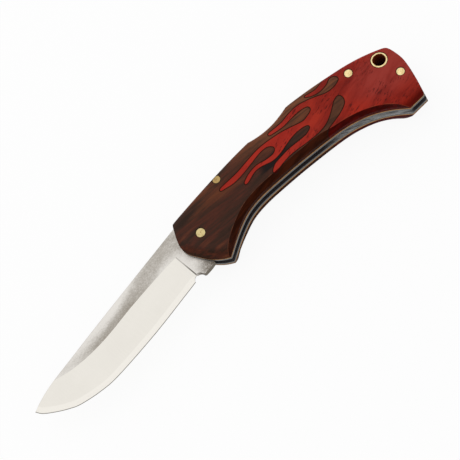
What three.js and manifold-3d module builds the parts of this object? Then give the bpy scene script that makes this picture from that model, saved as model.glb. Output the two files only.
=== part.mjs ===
// A folding pocket knife with a back lock in the middle of the handle, lying open on its far side.
//
// Sizes are millimetres. X runs along the handle from the pivot to the butt, Y from the belly to
// the spine, and Z from the far face to the near face. The pivot's axis is the Z axis, and the far
// face of the handle lies on Z = 0. An outline is a list of [x, y] points that a smooth curve joins.
import * as THREE from "three";
import { mergeVertices, toCreasedNormals } from "three/addons/utils/BufferGeometryUtils.js";
import Module from "manifold-3d";

// The main lengths: from the pivot to the blade's tip, and from the closed blade's tip to the butt.
// Points near the tip or the butt are measured from it, and the rest from the pivot.
const BLADE_LENGTH = 89.9;
const BUTT_ROOM = 9.4;
const BUTT_X = BLADE_LENGTH + BUTT_ROOM;
const TIP_X = -BLADE_LENGTH;

// Layers through the handle.
const SCALE_T = 4.5;
const SHIM_T = 0.5;
const LINER_T = 1.0;
const BLADE_T = 2.4;
const WASHER_T = 0.2;
const WASHER_PLAY = 0.05;

// Lines of the handle seen from its near side. The spine and the belly run past both ends, and the
// front, butt and foot lines trim them.
const SPINE_LINE = [
  [-14, 9.1], [-6.9, 10.9], [6.1, 13.5], [18.1, 15.6], [30, 17.3], [45, 18.7], [57, 19.45],
  ...measuredFrom(BUTT_X, [[-21.5, 17.75], [-9.5, 15.5], [4.7, 11]]),
];
const BELLY_LINE = [
  [-14, -25.9], [3.1, -13.7], [11.4, -7.8], [18.8, -3.9], [26.3, -2.2], [37.5, -1.5], [48.7, -1.3],
  ...measuredFrom(BUTT_X, [[-35.7, -1.7], [-28.2, -2.8], [-20.7, -5.3], [-13.2, -9.8], [4.7, -24.6]]),
];
const FRONT_LINE = [
  [-5.6, 13.2], [-6.4, 10.6], [-7.7, 6.9], [-8.75, 3.9], [-9.4, 1.3], [-8.9, -1.2], [-7.1, -4.2],
  [-4.3, -8], [-2.1, -10.3], [0.2, -12.1], [3.1, -13.7], [7.5, -15.8],
];
const BUTT_LINE = measuredFrom(BUTT_X, [
  [-6.8, 16.6], [-3.9, 14.1], [-2, 12.3], [-0.8, 9.2], [0, 5], [0, 2],
  [-0.4, -1.7], [-1.2, -6.5], [-2, -10.2], [-2.3, -11.2], [-3, -11.75], [-13.8, -12.85],
]);

// Thumb dip in the spine, a shallow scoop.
const DIP_START = 34.8;
const DIP_END = 54.2;
const DIP_DEPTH = 1.55;

// Belly bevel: its width along Y and the wood's thickness at its foot, at places along the handle.
const BEVEL_WIDTHS = [
  [-14, 0.05], [1.5, 0.1], [3.6, 0.9], [7.6, 1.6], [14, 1.75], [30, 1.85],
  ...measuredFrom(BUTT_X, [
    [-49.3, 2.2], [-42.3, 2.15], [-35.3, 1.3], [-28.3, 1.25], [-17.3, 1.1], [-12.3, 0.4],
    [-9.3, 0.05], [4.7, 0.05],
  ]),
];
const BELLY_RIMS = [[-14, 0.6], [3, 0.6], [15, 1.9], ...measuredFrom(BUTT_X, [[4.7, 1.9]])];

// Shape of the handle's faces: flat in the middle, and falling away toward every side.
const LOW_FALL = 0.17;
const LOW_FALL_WIDTH = 4;
const SPINE_FALL = 0.58;
const SPINE_FALL_WIDTH = 5.5;
const SPINE_ROUND = 2.2;
const FRONT_CROWN = 0.49;
const FRONT_CROWN_WIDTH = 7.2;
const REAR_CROWN = 1.24;
const REAR_CROWN_WIDTH = 18.3;

// The faces round over toward the front's lower edge and toward the butt's foot, down to a thin
// rim of wood. At the front the rounding fades out between two heights along Y.
const ROUND_RIM_T = 0.6;
const ROUND_WIDTH = 4;
const ROUND_FULL = -3;
const ROUND_NONE = 5;

// Line between the two woods, from the spine to the belly. Each list runs from one pointed lick of
// the red wood, round the end of a finger of dark wood, to the next lick.
const FLAME_LINE = [
  [
    [78, 19.7], [74, 19], [71.2, 18], [69.2, 17], [66.8, 16.4], [64.2, 16.8], [61.9, 17.2],
  ],
  [
    [61.9, 17.2], [62.1, 16.4], [63, 15.7], [64.3, 15], [67.6, 14.3], [71.2, 14.9], [73.8, 16.3],
    [75.9, 15.3], [76, 13.5], [73, 12.3], [69.3, 12.4], [65.6, 13.8], [61.8, 15.1], [57.7, 15.9],
    [53.2, 15.5], [49.4, 14.6], [45, 14.5], [43.1, 14.5], [42.1, 13.8],
  ],
  [
    [42.1, 13.8], [42.8, 13.2], [44.2, 12.9], [48.7, 12.5], [53.6, 13.1], [58, 13.3], [60.7, 12.5],
    [60.5, 10.8], [57.5, 9.6], [55.4, 9.4], [51, 10.5], [46.5, 11.5], [40.5, 12.1], [35.6, 12], [30, 11],
    [24.4, 9.9], [18.4, 9.4], [16, 9.1], [15, 8.5],
  ],
  [
    [15, 8.5], [15.8, 7.8], [17.3, 7.6], [21.1, 7.1], [26, 7.7], [31.2, 9], [35.7, 10.1], [39.3, 10.1],
    [41.2, 8.3], [39.7, 6.6], [36, 6.5], [31.9, 7.2], [27.6, 6.4], [24.6, 4.9], [23.9, 4.2],
  ],
  [
    [23.9, 4.2], [24.4, 3.5], [26, 3.7], [29.1, 5], [31.2, 5.4], [33.4, 5.2], [37.5, 4.2], [41.6, 4.6],
    [48.4, 6.7], [52.8, 7.2], [56, 6.6], [56, 5.2], [52.8, 4.1], [45.3, 4], [40.1, 3.3], [37.8, 2.8],
    [36.1, 1.8], [34.9, 0.7],
  ],
  [
    [34.9, 0.7], [35.3, -0.3], [36.6, -0.2], [40.2, 0.8], [45.3, 1.5], [52.4, 1.2], [58.4, 1.4],
    [62.6, 2.6], [66.4, 5.1], [69.3, 7.5], [71.8, 8.3], [72.9, 6.6], [71.9, 4.1], [68.4, 2.1], [64, 0.8],
    [60.8, -0.1], [59.4, -1.2], [58.9, -3.5],
  ],
];
const FLAME_STEP = 1.8;
const KERF = 0.3;

// Pins and the lanyard tube.
const PIVOT_R = 1.825;
const ROCKER_R = 1.5875;
const ROCKER_AT = new THREE.Vector2(17, 13.2);
const SPACER_PIN_R = 1.6;
const BUTT_PIN_R = 1.6;
const TUBE_R = 3.175;
const TUBE_WALL = 0.72;
const REAR_HOLES = [[-19, 12.9], [-3.8, 0.2], [-7, 9.4]];
const [SPACER_PIN_AT, BUTT_PIN_AT, TUBE_AT] = vectors(measuredFrom(BUTT_X, REAR_HOLES));
const PIN_FIT = 0.05;
const WASHER_R = 4.3;

// Blade. The back and the edge run from the handle to the tip. The grind line is where the flat
// side meets the ground bevel, and it runs on past the back.
const BLADE_BACK = [
  [-7.5, 11.35], [-36.5, 4.2],
  ...measuredFrom(TIP_X, [[35.5, -0.3], [24.3, -3.25], [10.9, -6.8], [4.4, -9.1], [0, -11.2]]),
];
const BLADE_EDGE = [
  ...measuredFrom(TIP_X, [
    [0, -11.2], [1.9, -13.65], [6.4, -16.6], [10.9, -18.9], [15.4, -20.5], [24.3, -21.5],
    [33.3, -21.06],
  ]),
  [-36.5, -17.2], [-18.5, -12.67], [-13.1, -11.25],
];
const GRIND_LINE = [
  [-12.9, 1.5], [-22.3, 0.1],
  ...measuredFrom(TIP_X, [
    [52.7, -2.8], [41.5, -5.5], [34, -6.9], [26.6, -7.6], [19.8, -7.5], [13.1, -6.4], [5.9, -4.4],
    [-2.1, -1],
  ]),
];
const PLUNGE_FOOT = [-10.5, -11];
const EDGE_T = 0.06;
const APEX_T = 0.4;
const APEX_WIDTH = 0.7;
const CHOIL_AT = new THREE.Vector2(-10.85, -11.4);
const CHOIL_R = 2.2;
const KICK_LINE = [
  [-8.6, -11.05], [-8.1, -11.3], [-6.5, -11.05], [-4.65, -10.65], [-2.8, -10.05], [-2.3, -9.2],
];
const CLOSING_ANGLE = 172;

// Lock: the tang's round end, its notch, and the hook that stands over it.
const TANG_R = 5.5;
const NOTCH_DEPTH = 0.8;
const TOOTH_ANGLE = 62;
const HOOK_GAP = 0.12;
const HOOK_FOOT = new THREE.Vector2(-1.2, 5.55);
const HOOK_REAR = 3;
const HOOK_REAR_ROOM = 0.3;
const LOCK_SIDE_PLAY = 0.1;
const LOCK_TAIL_R = 37.2;
const LOCK_TAIL_T = 1.75;
const LOCK_TAIL_GAP = 0.15;

// The lock bar's underside, measured from the rocker pin.
const LOCK_UNDERSIDE = [
  [-13.4, -2.4], [-6.4, -2.5], [-3.6, -2.9], [3.4, -2.6], [10, -0.8], [17, 1.1], [28, 3.2],
];

// Leaf spring under the lock bar's tail, and the back spacer that holds its root.
const LEAF_T = 0.9;
const LEAF_LINE = [[66.5, 14.95], [56, 15], [45, 14.55], [38, 13.95], [33.6, 13.6]];
const LEAF_SIDE_PLAY = 0.2;
const LEAF_FIT = 0.05;
const SPACER_FOOT = -6.5;
const CHANNEL_ROOM = 0.8;
const CHANNEL_ROOM_ANGLE = 0.6;

// Heights of the layers, from the far face up.
const CHANNEL = BLADE_T + 2 * (WASHER_T + WASHER_PLAY);
const Z_FAR_SHIM = SCALE_T;
const Z_FAR_LINER = Z_FAR_SHIM + SHIM_T;
const Z_CHANNEL = Z_FAR_LINER + LINER_T;
const Z_NEAR_LINER = Z_CHANNEL + CHANNEL;
const Z_NEAR_SHIM = Z_NEAR_LINER + LINER_T;
const Z_NEAR_SCALE = Z_NEAR_SHIM + SHIM_T;
const Z_TOP = Z_NEAR_SCALE + SCALE_T;
const Z_MID = Z_TOP / 2;

// How finely round things and long curves are cut.
const ROUND_STEPS = 28;
const STATION_COUNT = 42;
const STATION_GAP = 0.8;
const FRONT_STEP = 1.5;
const BUTT_STEP = 2;
const ROUND_STEP = 3;
const EDGE_STEP = 2.2;
const BACK_STEP = 5;
const LEAF_STEP = 2.5;
const ROOM_STEP = 4;

// How far a cutting body reaches past what it cuts: a little, or well clear of the whole handle.
const PAST = 2;
const WIDE = 40;

const wasm = await Module();
wasm.setup();

const MATERIALS = {
  satinSteel: { color: "#b9b2ac", roughness: 0.32, metalness: 1 },
  linerSteel: { color: "#8d8780", roughness: 0.45, metalness: 1 },
  brass: { color: "#d9b36a", roughness: 0.3, metalness: 1 },
  darkWood: { color: "#4a2d20", roughness: 0.5, metalness: 0 },
  redWood: { color: "#9a2a22", roughness: 0.48, metalness: 0 },
};

// The same points, with their X measured from another place.
function measuredFrom(place, points) {
  return points.map(([x, y]) => [place + x, y]);
}

// A closed three.js geometry as a solid that can be joined and cut.
function solidOf(geometry) {
  geometry.deleteAttribute("normal");
  geometry.deleteAttribute("uv");
  const merged = mergeVertices(geometry, 1e-4);
  const vertProperties = new Float32Array(merged.attributes.position.array);
  const triVerts = new Uint32Array(merged.index.array);
  return new wasm.Manifold(new wasm.Mesh({ numProp: 3, vertProperties, triVerts }));
}

// A solid as a named mesh, shaded smooth except at its real edges.
function meshOf(name, solid, look) {
  const { vertProperties, triVerts } = solid.getMesh();
  const geometry = new THREE.BufferGeometry();
  geometry.setAttribute("position", new THREE.BufferAttribute(new Float32Array(vertProperties), 3));
  geometry.setIndex(new THREE.BufferAttribute(new Uint32Array(triVerts), 1));
  const material = new THREE.MeshStandardMaterial(MATERIALS[look]);
  const mesh = new THREE.Mesh(toCreasedNormals(geometry, THREE.MathUtils.degToRad(25)), material);
  mesh.name = name;
  return mesh;
}

function vectors(points) {
  return points.map(([x, y]) => new THREE.Vector2(x, y));
}

// Points along a smooth curve through the given ones, about one step apart.
function smooth(points, step) {
  const curve = new THREE.SplineCurve(vectors(points));
  return curve.getSpacedPoints(Math.ceil(curve.getLength() / step));
}

// Points on an arc about a centre, from one angle to another, in degrees.
function arc(center, radius, from, to, steps) {
  return Array.from({ length: steps + 1 }, (_, i) => {
    const angle = THREE.MathUtils.degToRad(from + ((to - from) * i) / steps);
    return new THREE.Vector2(center.x + radius * Math.cos(angle), center.y + radius * Math.sin(angle));
  });
}

function angleOf(point, center) {
  return THREE.MathUtils.radToDeg(Math.atan2(point.y - center.y, point.x - center.x));
}

// The height of a line at one place along X: a cubic through the line's points.
function heightAt(line, x) {
  const last = line.length - 2;
  const i = Math.min(Math.max(line.findIndex(([px]) => px > x) - 1, 0), last);
  const slope = (a, b) => (line[b][1] - line[a][1]) / (line[b][0] - line[a][0]);
  const span = line[i + 1][0] - line[i][0];
  const t = (x - line[i][0]) / span;
  const m0 = slope(Math.max(i - 1, 0), i + 1) * span;
  const m1 = slope(i, Math.min(i + 2, last + 1)) * span;
  const h00 = 2 * t ** 3 - 3 * t ** 2 + 1;
  const h10 = t ** 3 - 2 * t ** 2 + t;
  const h01 = 3 * t ** 2 - 2 * t ** 3;
  const h11 = t ** 3 - t ** 2;
  return h00 * line[i][1] + h10 * m0 + h01 * line[i + 1][1] + h11 * m1;
}

// A flat body with the given outline, between two heights.
function plate(outline, low, high) {
  const geometry = new THREE.ExtrudeGeometry(new THREE.Shape(outline), {
    depth: high - low,
    bevelEnabled: false,
  });
  geometry.translate(0, 0, low);
  return solidOf(geometry);
}

function rod(at, radius, low, high) {
  const geometry = new THREE.CylinderGeometry(radius, radius, high - low, ROUND_STEPS);
  geometry.rotateX(Math.PI / 2);
  geometry.translate(at.x, at.y, (low + high) / 2);
  return solidOf(geometry);
}

function slab(low, high) {
  const geometry = new THREE.BoxGeometry(10 * WIDE, 5 * WIDE, high - low);
  geometry.translate(0, 0, (low + high) / 2);
  return solidOf(geometry);
}

// A closed body through rings of points along X, each ring a closed section with as many points.
function loft(sections) {
  const flat = (ring) => ring.map((point) => new THREE.Vector2(point.y, point.z));
  const turned = THREE.ShapeUtils.isClockWise(flat(sections[0]));
  const rings = sections.map((ring) => (turned ? [...ring].reverse() : ring));
  if (rings.at(-1)[0].x < rings[0][0].x) {
    rings.reverse();
  }
  const count = rings[0].length;
  const end = (rings.length - 1) * count;
  const index = [];
  for (let start = 0; start < end; start += count) {
    for (let k = 0; k < count; k += 1) {
      const a = start + k;
      const b = start + ((k + 1) % count);
      index.push(a, b, a + count, b, b + count, a + count);
    }
  }
  for (const [a, b, c] of THREE.ShapeUtils.triangulateShape(flat(rings[0]), [])) {
    index.push(a, c, b);
  }
  for (const [a, b, c] of THREE.ShapeUtils.triangulateShape(flat(rings.at(-1)), [])) {
    index.push(end + a, end + b, end + c);
  }
  const geometry = new THREE.BufferGeometry().setFromPoints(rings.flat());
  geometry.setIndex(index);
  return solidOf(geometry);
}

function spineHeight(x) {
  return heightAt(SPINE_LINE, x);
}

// The dip is a shallow arc that starts and ends at the full spine.
function dipDepth(x) {
  const t = (x - DIP_START) / (DIP_END - DIP_START);
  return t > 0 && t < 1 ? 4 * DIP_DEPTH * t * (1 - t) : 0;
}

// How far the handle's faces have fallen toward the front and toward the butt.
function crownDrop(x) {
  const frontX = Math.min(...FRONT_LINE.map(([edgeX]) => edgeX));
  const front = Math.max(frontX + FRONT_CROWN_WIDTH - x, 0) / FRONT_CROWN_WIDTH;
  const rear = Math.max(x - (BUTT_X - REAR_CROWN_WIDTH), 0) / REAR_CROWN_WIDTH;
  return FRONT_CROWN * front ** 2 + REAR_CROWN * rear ** 2;
}

// The handle's section at one place, from the belly bevel to the spine, as heights over the middle.
function halfSection(x) {
  const belly = heightAt(BELLY_LINE, x);
  const bevel = Math.max(heightAt(BEVEL_WIDTHS, x), 0.02);
  const spine = spineHeight(x) - dipDepth(x);
  const face = Z_MID - crownDrop(x);
  const rim = Z_NEAR_SCALE + heightAt(BELLY_RIMS, x) - Z_MID;
  const crease = belly + bevel;
  const fallAt = (d) => SPINE_FALL * ((SPINE_FALL_WIDTH - d) / SPINE_FALL_WIDTH) ** 2;
  const shoulder = face - fallAt(SPINE_ROUND);
  const round = [25, 50, 70, 90].map((degrees) => {
    const angle = THREE.MathUtils.degToRad(degrees);
    return [
      spine - SPINE_ROUND * (1 - Math.sin(angle)),
      shoulder - SPINE_ROUND * (1 - Math.cos(angle)),
    ];
  });
  return [
    [belly, rim],
    [crease, face - LOW_FALL],
    [crease + LOW_FALL_WIDTH / 2, face - LOW_FALL / 4],
    [crease + LOW_FALL_WIDTH, face],
    [spine - SPINE_FALL_WIDTH, face],
    [spine - SPINE_FALL_WIDTH / 2, face - fallAt(SPINE_FALL_WIDTH / 2)],
    [spine - SPINE_ROUND, shoulder],
    ...round,
  ];
}

// A body that rounds one face over toward a line of the outline, which has the handle on its left.
function roundingCut(line, side, share) {
  const run = line.at(-1).clone().sub(line[0]);
  const turn = Math.atan2(run.y, run.x);
  const axis = new THREE.Vector3(0, 0, 1);
  const lift = 0.02;
  const depth = SCALE_T - ROUND_RIM_T + lift;
  const rings = line.map((point, i) => {
    const way = line[Math.min(i + 1, line.length - 1)].clone().sub(line[Math.max(i - 1, 0)]);
    const inward = new THREE.Vector2(-way.y, way.x).normalize();
    const place = (distance, drop) => {
      const spot = point.clone().addScaledVector(inward, distance);
      const height = Z_MID + lift - drop * share(spot);
      return new THREE.Vector3(spot.x, spot.y, Z_MID + side * height).applyAxisAngle(axis, -turn);
    };
    const above = (distance) => place(distance, 0).setZ(Z_MID + side * (Z_MID + PAST));
    const curve = [0, 0.25, 0.5, 0.75, 1].map((t) => place(t * ROUND_WIDTH, depth * (1 - t) ** 2));
    return [place(-PAST, depth), ...curve, above(ROUND_WIDTH), above(-PAST)];
  });
  return loft(rings).rotate([0, 0, THREE.MathUtils.radToDeg(turn)]);
}

// The bodies that round both faces over toward the front's lower edge and toward the butt's foot.
function roundingCuts() {
  const front = smooth(FRONT_LINE.slice(2), ROUND_STEP);
  const frontShare = (spot) => 1 - THREE.MathUtils.smoothstep(spot.y, ROUND_FULL, ROUND_NONE);
  const [heel, corner] = vectors(BUTT_LINE.slice(-2));
  const along = heel.clone().sub(corner);
  const foot = [corner.clone().addScaledVector(along, -1), heel.clone().addScaledVector(along, 1)];
  return [1, -1].flatMap((side) => [
    roundingCut(front, side, frontShare),
    roundingCut(foot, side, () => 1),
  ]);
}

// The whole handle as one body, as if it were ground to shape after it was put together.
function handleForm() {
  const start = Math.min(...FRONT_LINE.map(([x]) => x)) - PAST;
  const end = Math.max(...BUTT_LINE.map(([x]) => x)) + PAST;
  const step = (end - start) / (STATION_COUNT - 1);
  const even = Array.from({ length: STATION_COUNT }, (_, i) => start + step * i);
  const dipEnds = [DIP_START, DIP_END];
  const stations = even.filter((x) => dipEnds.every((dipEnd) => Math.abs(x - dipEnd) > STATION_GAP));
  stations.push(...dipEnds);
  stations.sort((a, b) => a - b);
  const rings = stations.map((x) => {
    const half = halfSection(x);
    const near = half.map(([y, z]) => new THREE.Vector3(x, y, Z_MID + z));
    const far = half.map(([y, z]) => new THREE.Vector3(x, y, Z_MID - z)).reverse();
    return [...near, ...far];
  });
  const footCorner = BUTT_LINE.at(-1);
  const ends = [
    ...smooth(FRONT_LINE, FRONT_STEP).reverse(),
    new THREE.Vector2(0, WIDE),
    new THREE.Vector2(BUTT_LINE[0][0], WIDE),
    ...smooth(BUTT_LINE.slice(0, -1), BUTT_STEP),
    ...vectors([footCorner]),
    new THREE.Vector2(footCorner[0] - WIDE, -WIDE),
  ];
  const blank = loft(rings).intersect(plate(ends, -PAST, Z_TOP + PAST));
  return roundingCuts().reduce((body, cut) => body.subtract(cut), blank);
}

// A line moved sideways, to its left for a positive distance. A point that another stretch of the
// line comes too near to is left out, and the outside of a sharp corner is cut short.
function beside(line, distance) {
  const left = (a, b) => new THREE.Vector2(a.y - b.y, b.x - a.x).normalize();
  const moved = line.map((point, i) => {
    const before = i > 0 ? left(line[i - 1], point) : left(point, line[i + 1]);
    const after = i < line.length - 1 ? left(point, line[i + 1]) : before;
    const way = before.clone().add(after).normalize();
    const inside = Math.sign(before.cross(after)) === Math.sign(distance);
    const reach = 1 / Math.max(way.dot(before), 0.02);
    return point.clone().addScaledVector(way, distance * (inside ? reach : Math.min(reach, 2.5)));
  });
  return moved.filter((point) => gapToLine(point, line) > Math.abs(distance) * 0.97);
}

function gapToLine(point, line) {
  let least = Infinity;
  const nearest = new THREE.Vector3();
  const target = new THREE.Vector3(point.x, point.y, 0);
  for (let i = 0; i < line.length - 1; i += 1) {
    const a = new THREE.Vector3(line[i].x, line[i].y, 0);
    const b = new THREE.Vector3(line[i + 1].x, line[i + 1].y, 0);
    new THREE.Line3(a, b).closestPointToPoint(target, true, nearest);
    least = Math.min(least, nearest.distanceTo(target));
  }
  return least;
}

// The two woods' sides of the flame line, each as a tall body that cuts its own wood out.
function woodSides() {
  const line = FLAME_LINE.flatMap((part, i) => smooth(part, FLAME_STEP).slice(i > 0 ? 1 : 0));
  const redEdge = beside(line, KERF / 2);
  const darkEdge = beside(line, -KERF / 2);
  const top = line[0];
  const foot = line[line.length - 1];
  const red = [
    ...redEdge,
    new THREE.Vector2(foot.x + WIDE, -WIDE),
    new THREE.Vector2(top.x + WIDE, -WIDE),
    new THREE.Vector2(top.x + WIDE, WIDE),
    new THREE.Vector2(top.x + 1, WIDE),
  ];
  const dark = [
    ...darkEdge,
    new THREE.Vector2(foot.x - PAST, -WIDE),
    new THREE.Vector2(-WIDE, -WIDE),
    new THREE.Vector2(-WIDE, WIDE),
    new THREE.Vector2(top.x, WIDE),
  ];
  return { red: plate(red, -PAST, Z_TOP + PAST), dark: plate(dark, -PAST, Z_TOP + PAST) };
}

// Everything that goes through the handle, with its radius.
const CROSS_PINS = [
  { name: "pivot_pin", at: new THREE.Vector2(0, 0), radius: PIVOT_R },
  { name: "rocker_pin", at: ROCKER_AT, radius: ROCKER_R },
  { name: "spacer_pin", at: SPACER_PIN_AT, radius: SPACER_PIN_R },
  { name: "butt_pin", at: BUTT_PIN_AT, radius: BUTT_PIN_R },
  { name: "lanyard_tube", at: TUBE_AT, radius: TUBE_R },
];

function pinHoles() {
  const holes = CROSS_PINS.map(({ at, radius }) => rod(at, radius + PIN_FIT, -PAST, Z_TOP + PAST));
  return wasm.Manifold.union(holes);
}

function pins(form) {
  return CROSS_PINS.map(({ name, at, radius }) => {
    const stock = rod(at, radius, -PAST, Z_TOP + PAST).intersect(form);
    const bore = rod(at, TUBE_R - TUBE_WALL, -2 * PAST, Z_TOP + 2 * PAST);
    return meshOf(name, name === "lanyard_tube" ? stock.subtract(bore) : stock, "brass");
  });
}

// Scales, shims and liners: slices of the handle, from the far face to the near one.
function handleLayers(form, holes) {
  const bored = form.subtract(holes);
  const { red, dark } = woodSides();
  const farScale = bored.intersect(slab(-PAST, Z_FAR_SHIM));
  const nearScale = bored.intersect(slab(Z_NEAR_SCALE, Z_TOP + PAST));
  return [
    meshOf("far_front_scale", farScale.intersect(dark), "darkWood"),
    meshOf("far_flame_scale", farScale.intersect(red), "redWood"),
    meshOf("far_brass_shim", bored.intersect(slab(Z_FAR_SHIM, Z_FAR_LINER)), "brass"),
    meshOf("far_liner", bored.intersect(slab(Z_FAR_LINER, Z_CHANNEL)), "linerSteel"),
    meshOf("near_liner", bored.intersect(slab(Z_NEAR_LINER, Z_NEAR_SHIM)), "linerSteel"),
    meshOf("near_brass_shim", bored.intersect(slab(Z_NEAR_SHIM, Z_NEAR_SCALE)), "brass"),
    meshOf("near_front_scale", nearScale.intersect(dark), "darkWood"),
    meshOf("near_flame_scale", nearScale.intersect(red), "redWood"),
  ];
}

function washers() {
  const pivot = new THREE.Vector2(0, 0);
  const bore = rod(pivot, PIVOT_R + PIN_FIT, -PAST, Z_TOP + PAST);
  const near = rod(pivot, WASHER_R, Z_NEAR_LINER - WASHER_T, Z_NEAR_LINER);
  const far = rod(pivot, WASHER_R, Z_CHANNEL, Z_CHANNEL + WASHER_T);
  return [
    meshOf("far_washer", far.subtract(bore), "brass"),
    meshOf("near_washer", near.subtract(bore), "brass"),
  ];
}

// The stop faces of the tang and of the hook are arcs about the rocker pin, so that the hook
// lifts out without rubbing.
function stopRadius() {
  return HOOK_FOOT.distanceTo(ROCKER_AT);
}

// Where an arc about the rocker pin meets a given height, on its front side, in degrees.
function rockerAngleAt(radius, height) {
  return 180 - THREE.MathUtils.radToDeg(Math.asin((height - ROCKER_AT.y) / radius));
}

function tangOutline() {
  const pivot = new THREE.Vector2(0, 0);
  const stop = stopRadius() + HOOK_GAP;
  const top = rockerAngleAt(stop, spineHeight(ROCKER_AT.x - stop));
  const foot = rockerAngleAt(stop, HOOK_FOOT.y);
  const stopFace = arc(ROCKER_AT, stop, top, foot, 8);
  const notchStart = angleOf(stopFace[stopFace.length - 1], pivot);
  const notchFloor = arc(pivot, TANG_R - NOTCH_DEPTH, notchStart, TOOTH_ANGLE + 4, 6);
  const wallTop = vectors(KICK_LINE).at(-1);
  const closedHook = HOOK_REAR + HOOK_REAR_ROOM;
  const wallFoot = angleOf(new THREE.Vector2(closedHook, Math.sqrt(TANG_R ** 2 - closedHook ** 2)), pivot);
  const roundEnd = arc(pivot, TANG_R, TOOTH_ANGLE, wallFoot - CLOSING_ANGLE, 40);
  return [...stopFace, ...notchFloor, ...roundEnd, wallTop];
}

// The cutting edge, from the heel to the tip.
function cuttingEdge() {
  return smooth(BLADE_EDGE, EDGE_STEP).reverse();
}

function bladeOutline() {
  const pivotSide = tangOutline();
  const kick = vectors(KICK_LINE).reverse().slice(1);
  const heel = vectors(BLADE_EDGE).at(-1);
  const choil = arc(CHOIL_AT, CHOIL_R, angleOf(kick.at(-1), CHOIL_AT), angleOf(heel, CHOIL_AT), 10);
  const back = smooth(BLADE_BACK, BACK_STEP).reverse();
  return [...pivotSide, ...kick, ...choil.slice(1, -1), ...cuttingEdge(), ...back.slice(1)];
}

// One side's grinding wheel: a body whose lower face is the bevel, from the plunge to the tip.
function grindCut(side) {
  const foot = [...vectors([PLUNGE_FOOT]), ...cuttingEdge()];
  const top = new THREE.SplineCurve(vectors(GRIND_LINE)).getSpacedPoints(foot.length - 1);
  const beyond = new THREE.Vector2(-PAST, 0);
  foot.push(foot.at(-1).clone().add(beyond));
  top.push(top.at(-1).clone().add(beyond));
  const rings = top.map((grind, i) => {
    const down = foot[i].clone().sub(grind);
    const width = down.length();
    down.normalize();
    const place = (distance, height) => {
      const point = grind.clone().addScaledVector(down, distance);
      return new THREE.Vector3(point.x, point.y, Z_MID + side * height);
    };
    const apex = width - APEX_WIDTH;
    const slope = (BLADE_T - APEX_T) / 2 / apex;
    const fine = (APEX_T - EDGE_T) / 2 / APEX_WIDTH;
    return [
      place(-PAST, BLADE_T / 2 + slope * PAST),
      place(apex, APEX_T / 2),
      place(width + PAST, EDGE_T / 2 - fine * PAST),
      place(width + PAST, BLADE_T + PAST),
      place(-PAST, BLADE_T + PAST),
    ];
  });
  return loft(rings);
}

function blade() {
  const low = Z_MID - BLADE_T / 2;
  const blank = plate(bladeOutline(), low, low + BLADE_T);
  const bore = rod(new THREE.Vector2(0, 0), PIVOT_R + PIN_FIT, -PAST, Z_TOP + PAST);
  const ground = blank.subtract(grindCut(1)).subtract(grindCut(-1));
  return meshOf("blade", ground.subtract(bore), "satinSteel");
}

// The lock bar in its own frame, with the rocker pin's axis at the origin.
function lockBar() {
  const pivot = new THREE.Vector2(0, 0);
  const stop = stopRadius();
  const top = rockerAngleAt(stop, spineHeight(ROCKER_AT.x - stop));
  const hookFace = arc(ROCKER_AT, stop, top, rockerAngleAt(stop, HOOK_FOOT.y), 8);
  const hookUnder = TANG_R + HOOK_GAP;
  const hookRear = new THREE.Vector2(HOOK_REAR, Math.sqrt(hookUnder ** 2 - HOOK_REAR ** 2));
  const under = arc(pivot, hookUnder, angleOf(HOOK_FOOT, pivot), angleOf(hookRear, pivot), 6).slice(1);
  const tailFootHeight = spineHeight(ROCKER_AT.x + LOCK_TAIL_R) - LOCK_TAIL_T;
  const tailFoot = Math.asin((tailFootHeight - ROCKER_AT.y) / LOCK_TAIL_R);
  const tailX = ROCKER_AT.x + LOCK_TAIL_R * Math.cos(tailFoot);
  const tailTop = THREE.MathUtils.radToDeg(Math.asin((spineHeight(tailX) - ROCKER_AT.y) / LOCK_TAIL_R));
  const tail = arc(ROCKER_AT, LOCK_TAIL_R, THREE.MathUtils.radToDeg(tailFoot), tailTop, 3);
  const from = tail.at(-1).x;
  const to = hookFace[0].x;
  const count = 24;
  const back = Array.from({ length: count - 1 }, (_, i) => {
    const x = from + ((to - from) * (i + 1)) / count;
    return new THREE.Vector2(x, spineHeight(x));
  });
  const underside = vectors(LOCK_UNDERSIDE).map((point) => point.add(ROCKER_AT));
  const outline = [...hookFace, ...under, ...underside, ...tail, ...back];
  const body = plate(outline, Z_CHANNEL + LOCK_SIDE_PLAY, Z_NEAR_LINER - LOCK_SIDE_PLAY);
  const bore = rod(ROCKER_AT, ROCKER_R + PIN_FIT, -PAST, Z_TOP + PAST);
  const local = body.subtract(bore).translate([-ROCKER_AT.x, -ROCKER_AT.y, 0]);
  const mesh = meshOf("lock_bar", local, "linerSteel");
  const rocker = new THREE.Group();
  rocker.position.set(ROCKER_AT.x, ROCKER_AT.y, 0);
  rocker.add(mesh);
  return rocker;
}

// The leaf's outline, with as much room round it as asked for.
function leafOutline(room) {
  const line = smooth(LEAF_LINE, LEAF_STEP);
  const half = LEAF_T / 2 + room;
  return [...beside(line, half), ...beside(line, -half).reverse()];
}

function leafSpring() {
  const low = Z_CHANNEL + LEAF_SIDE_PLAY;
  return meshOf("leaf_spring", plate(leafOutline(0), low, Z_NEAR_LINER - LEAF_SIDE_PLAY), "satinSteel");
}

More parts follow.
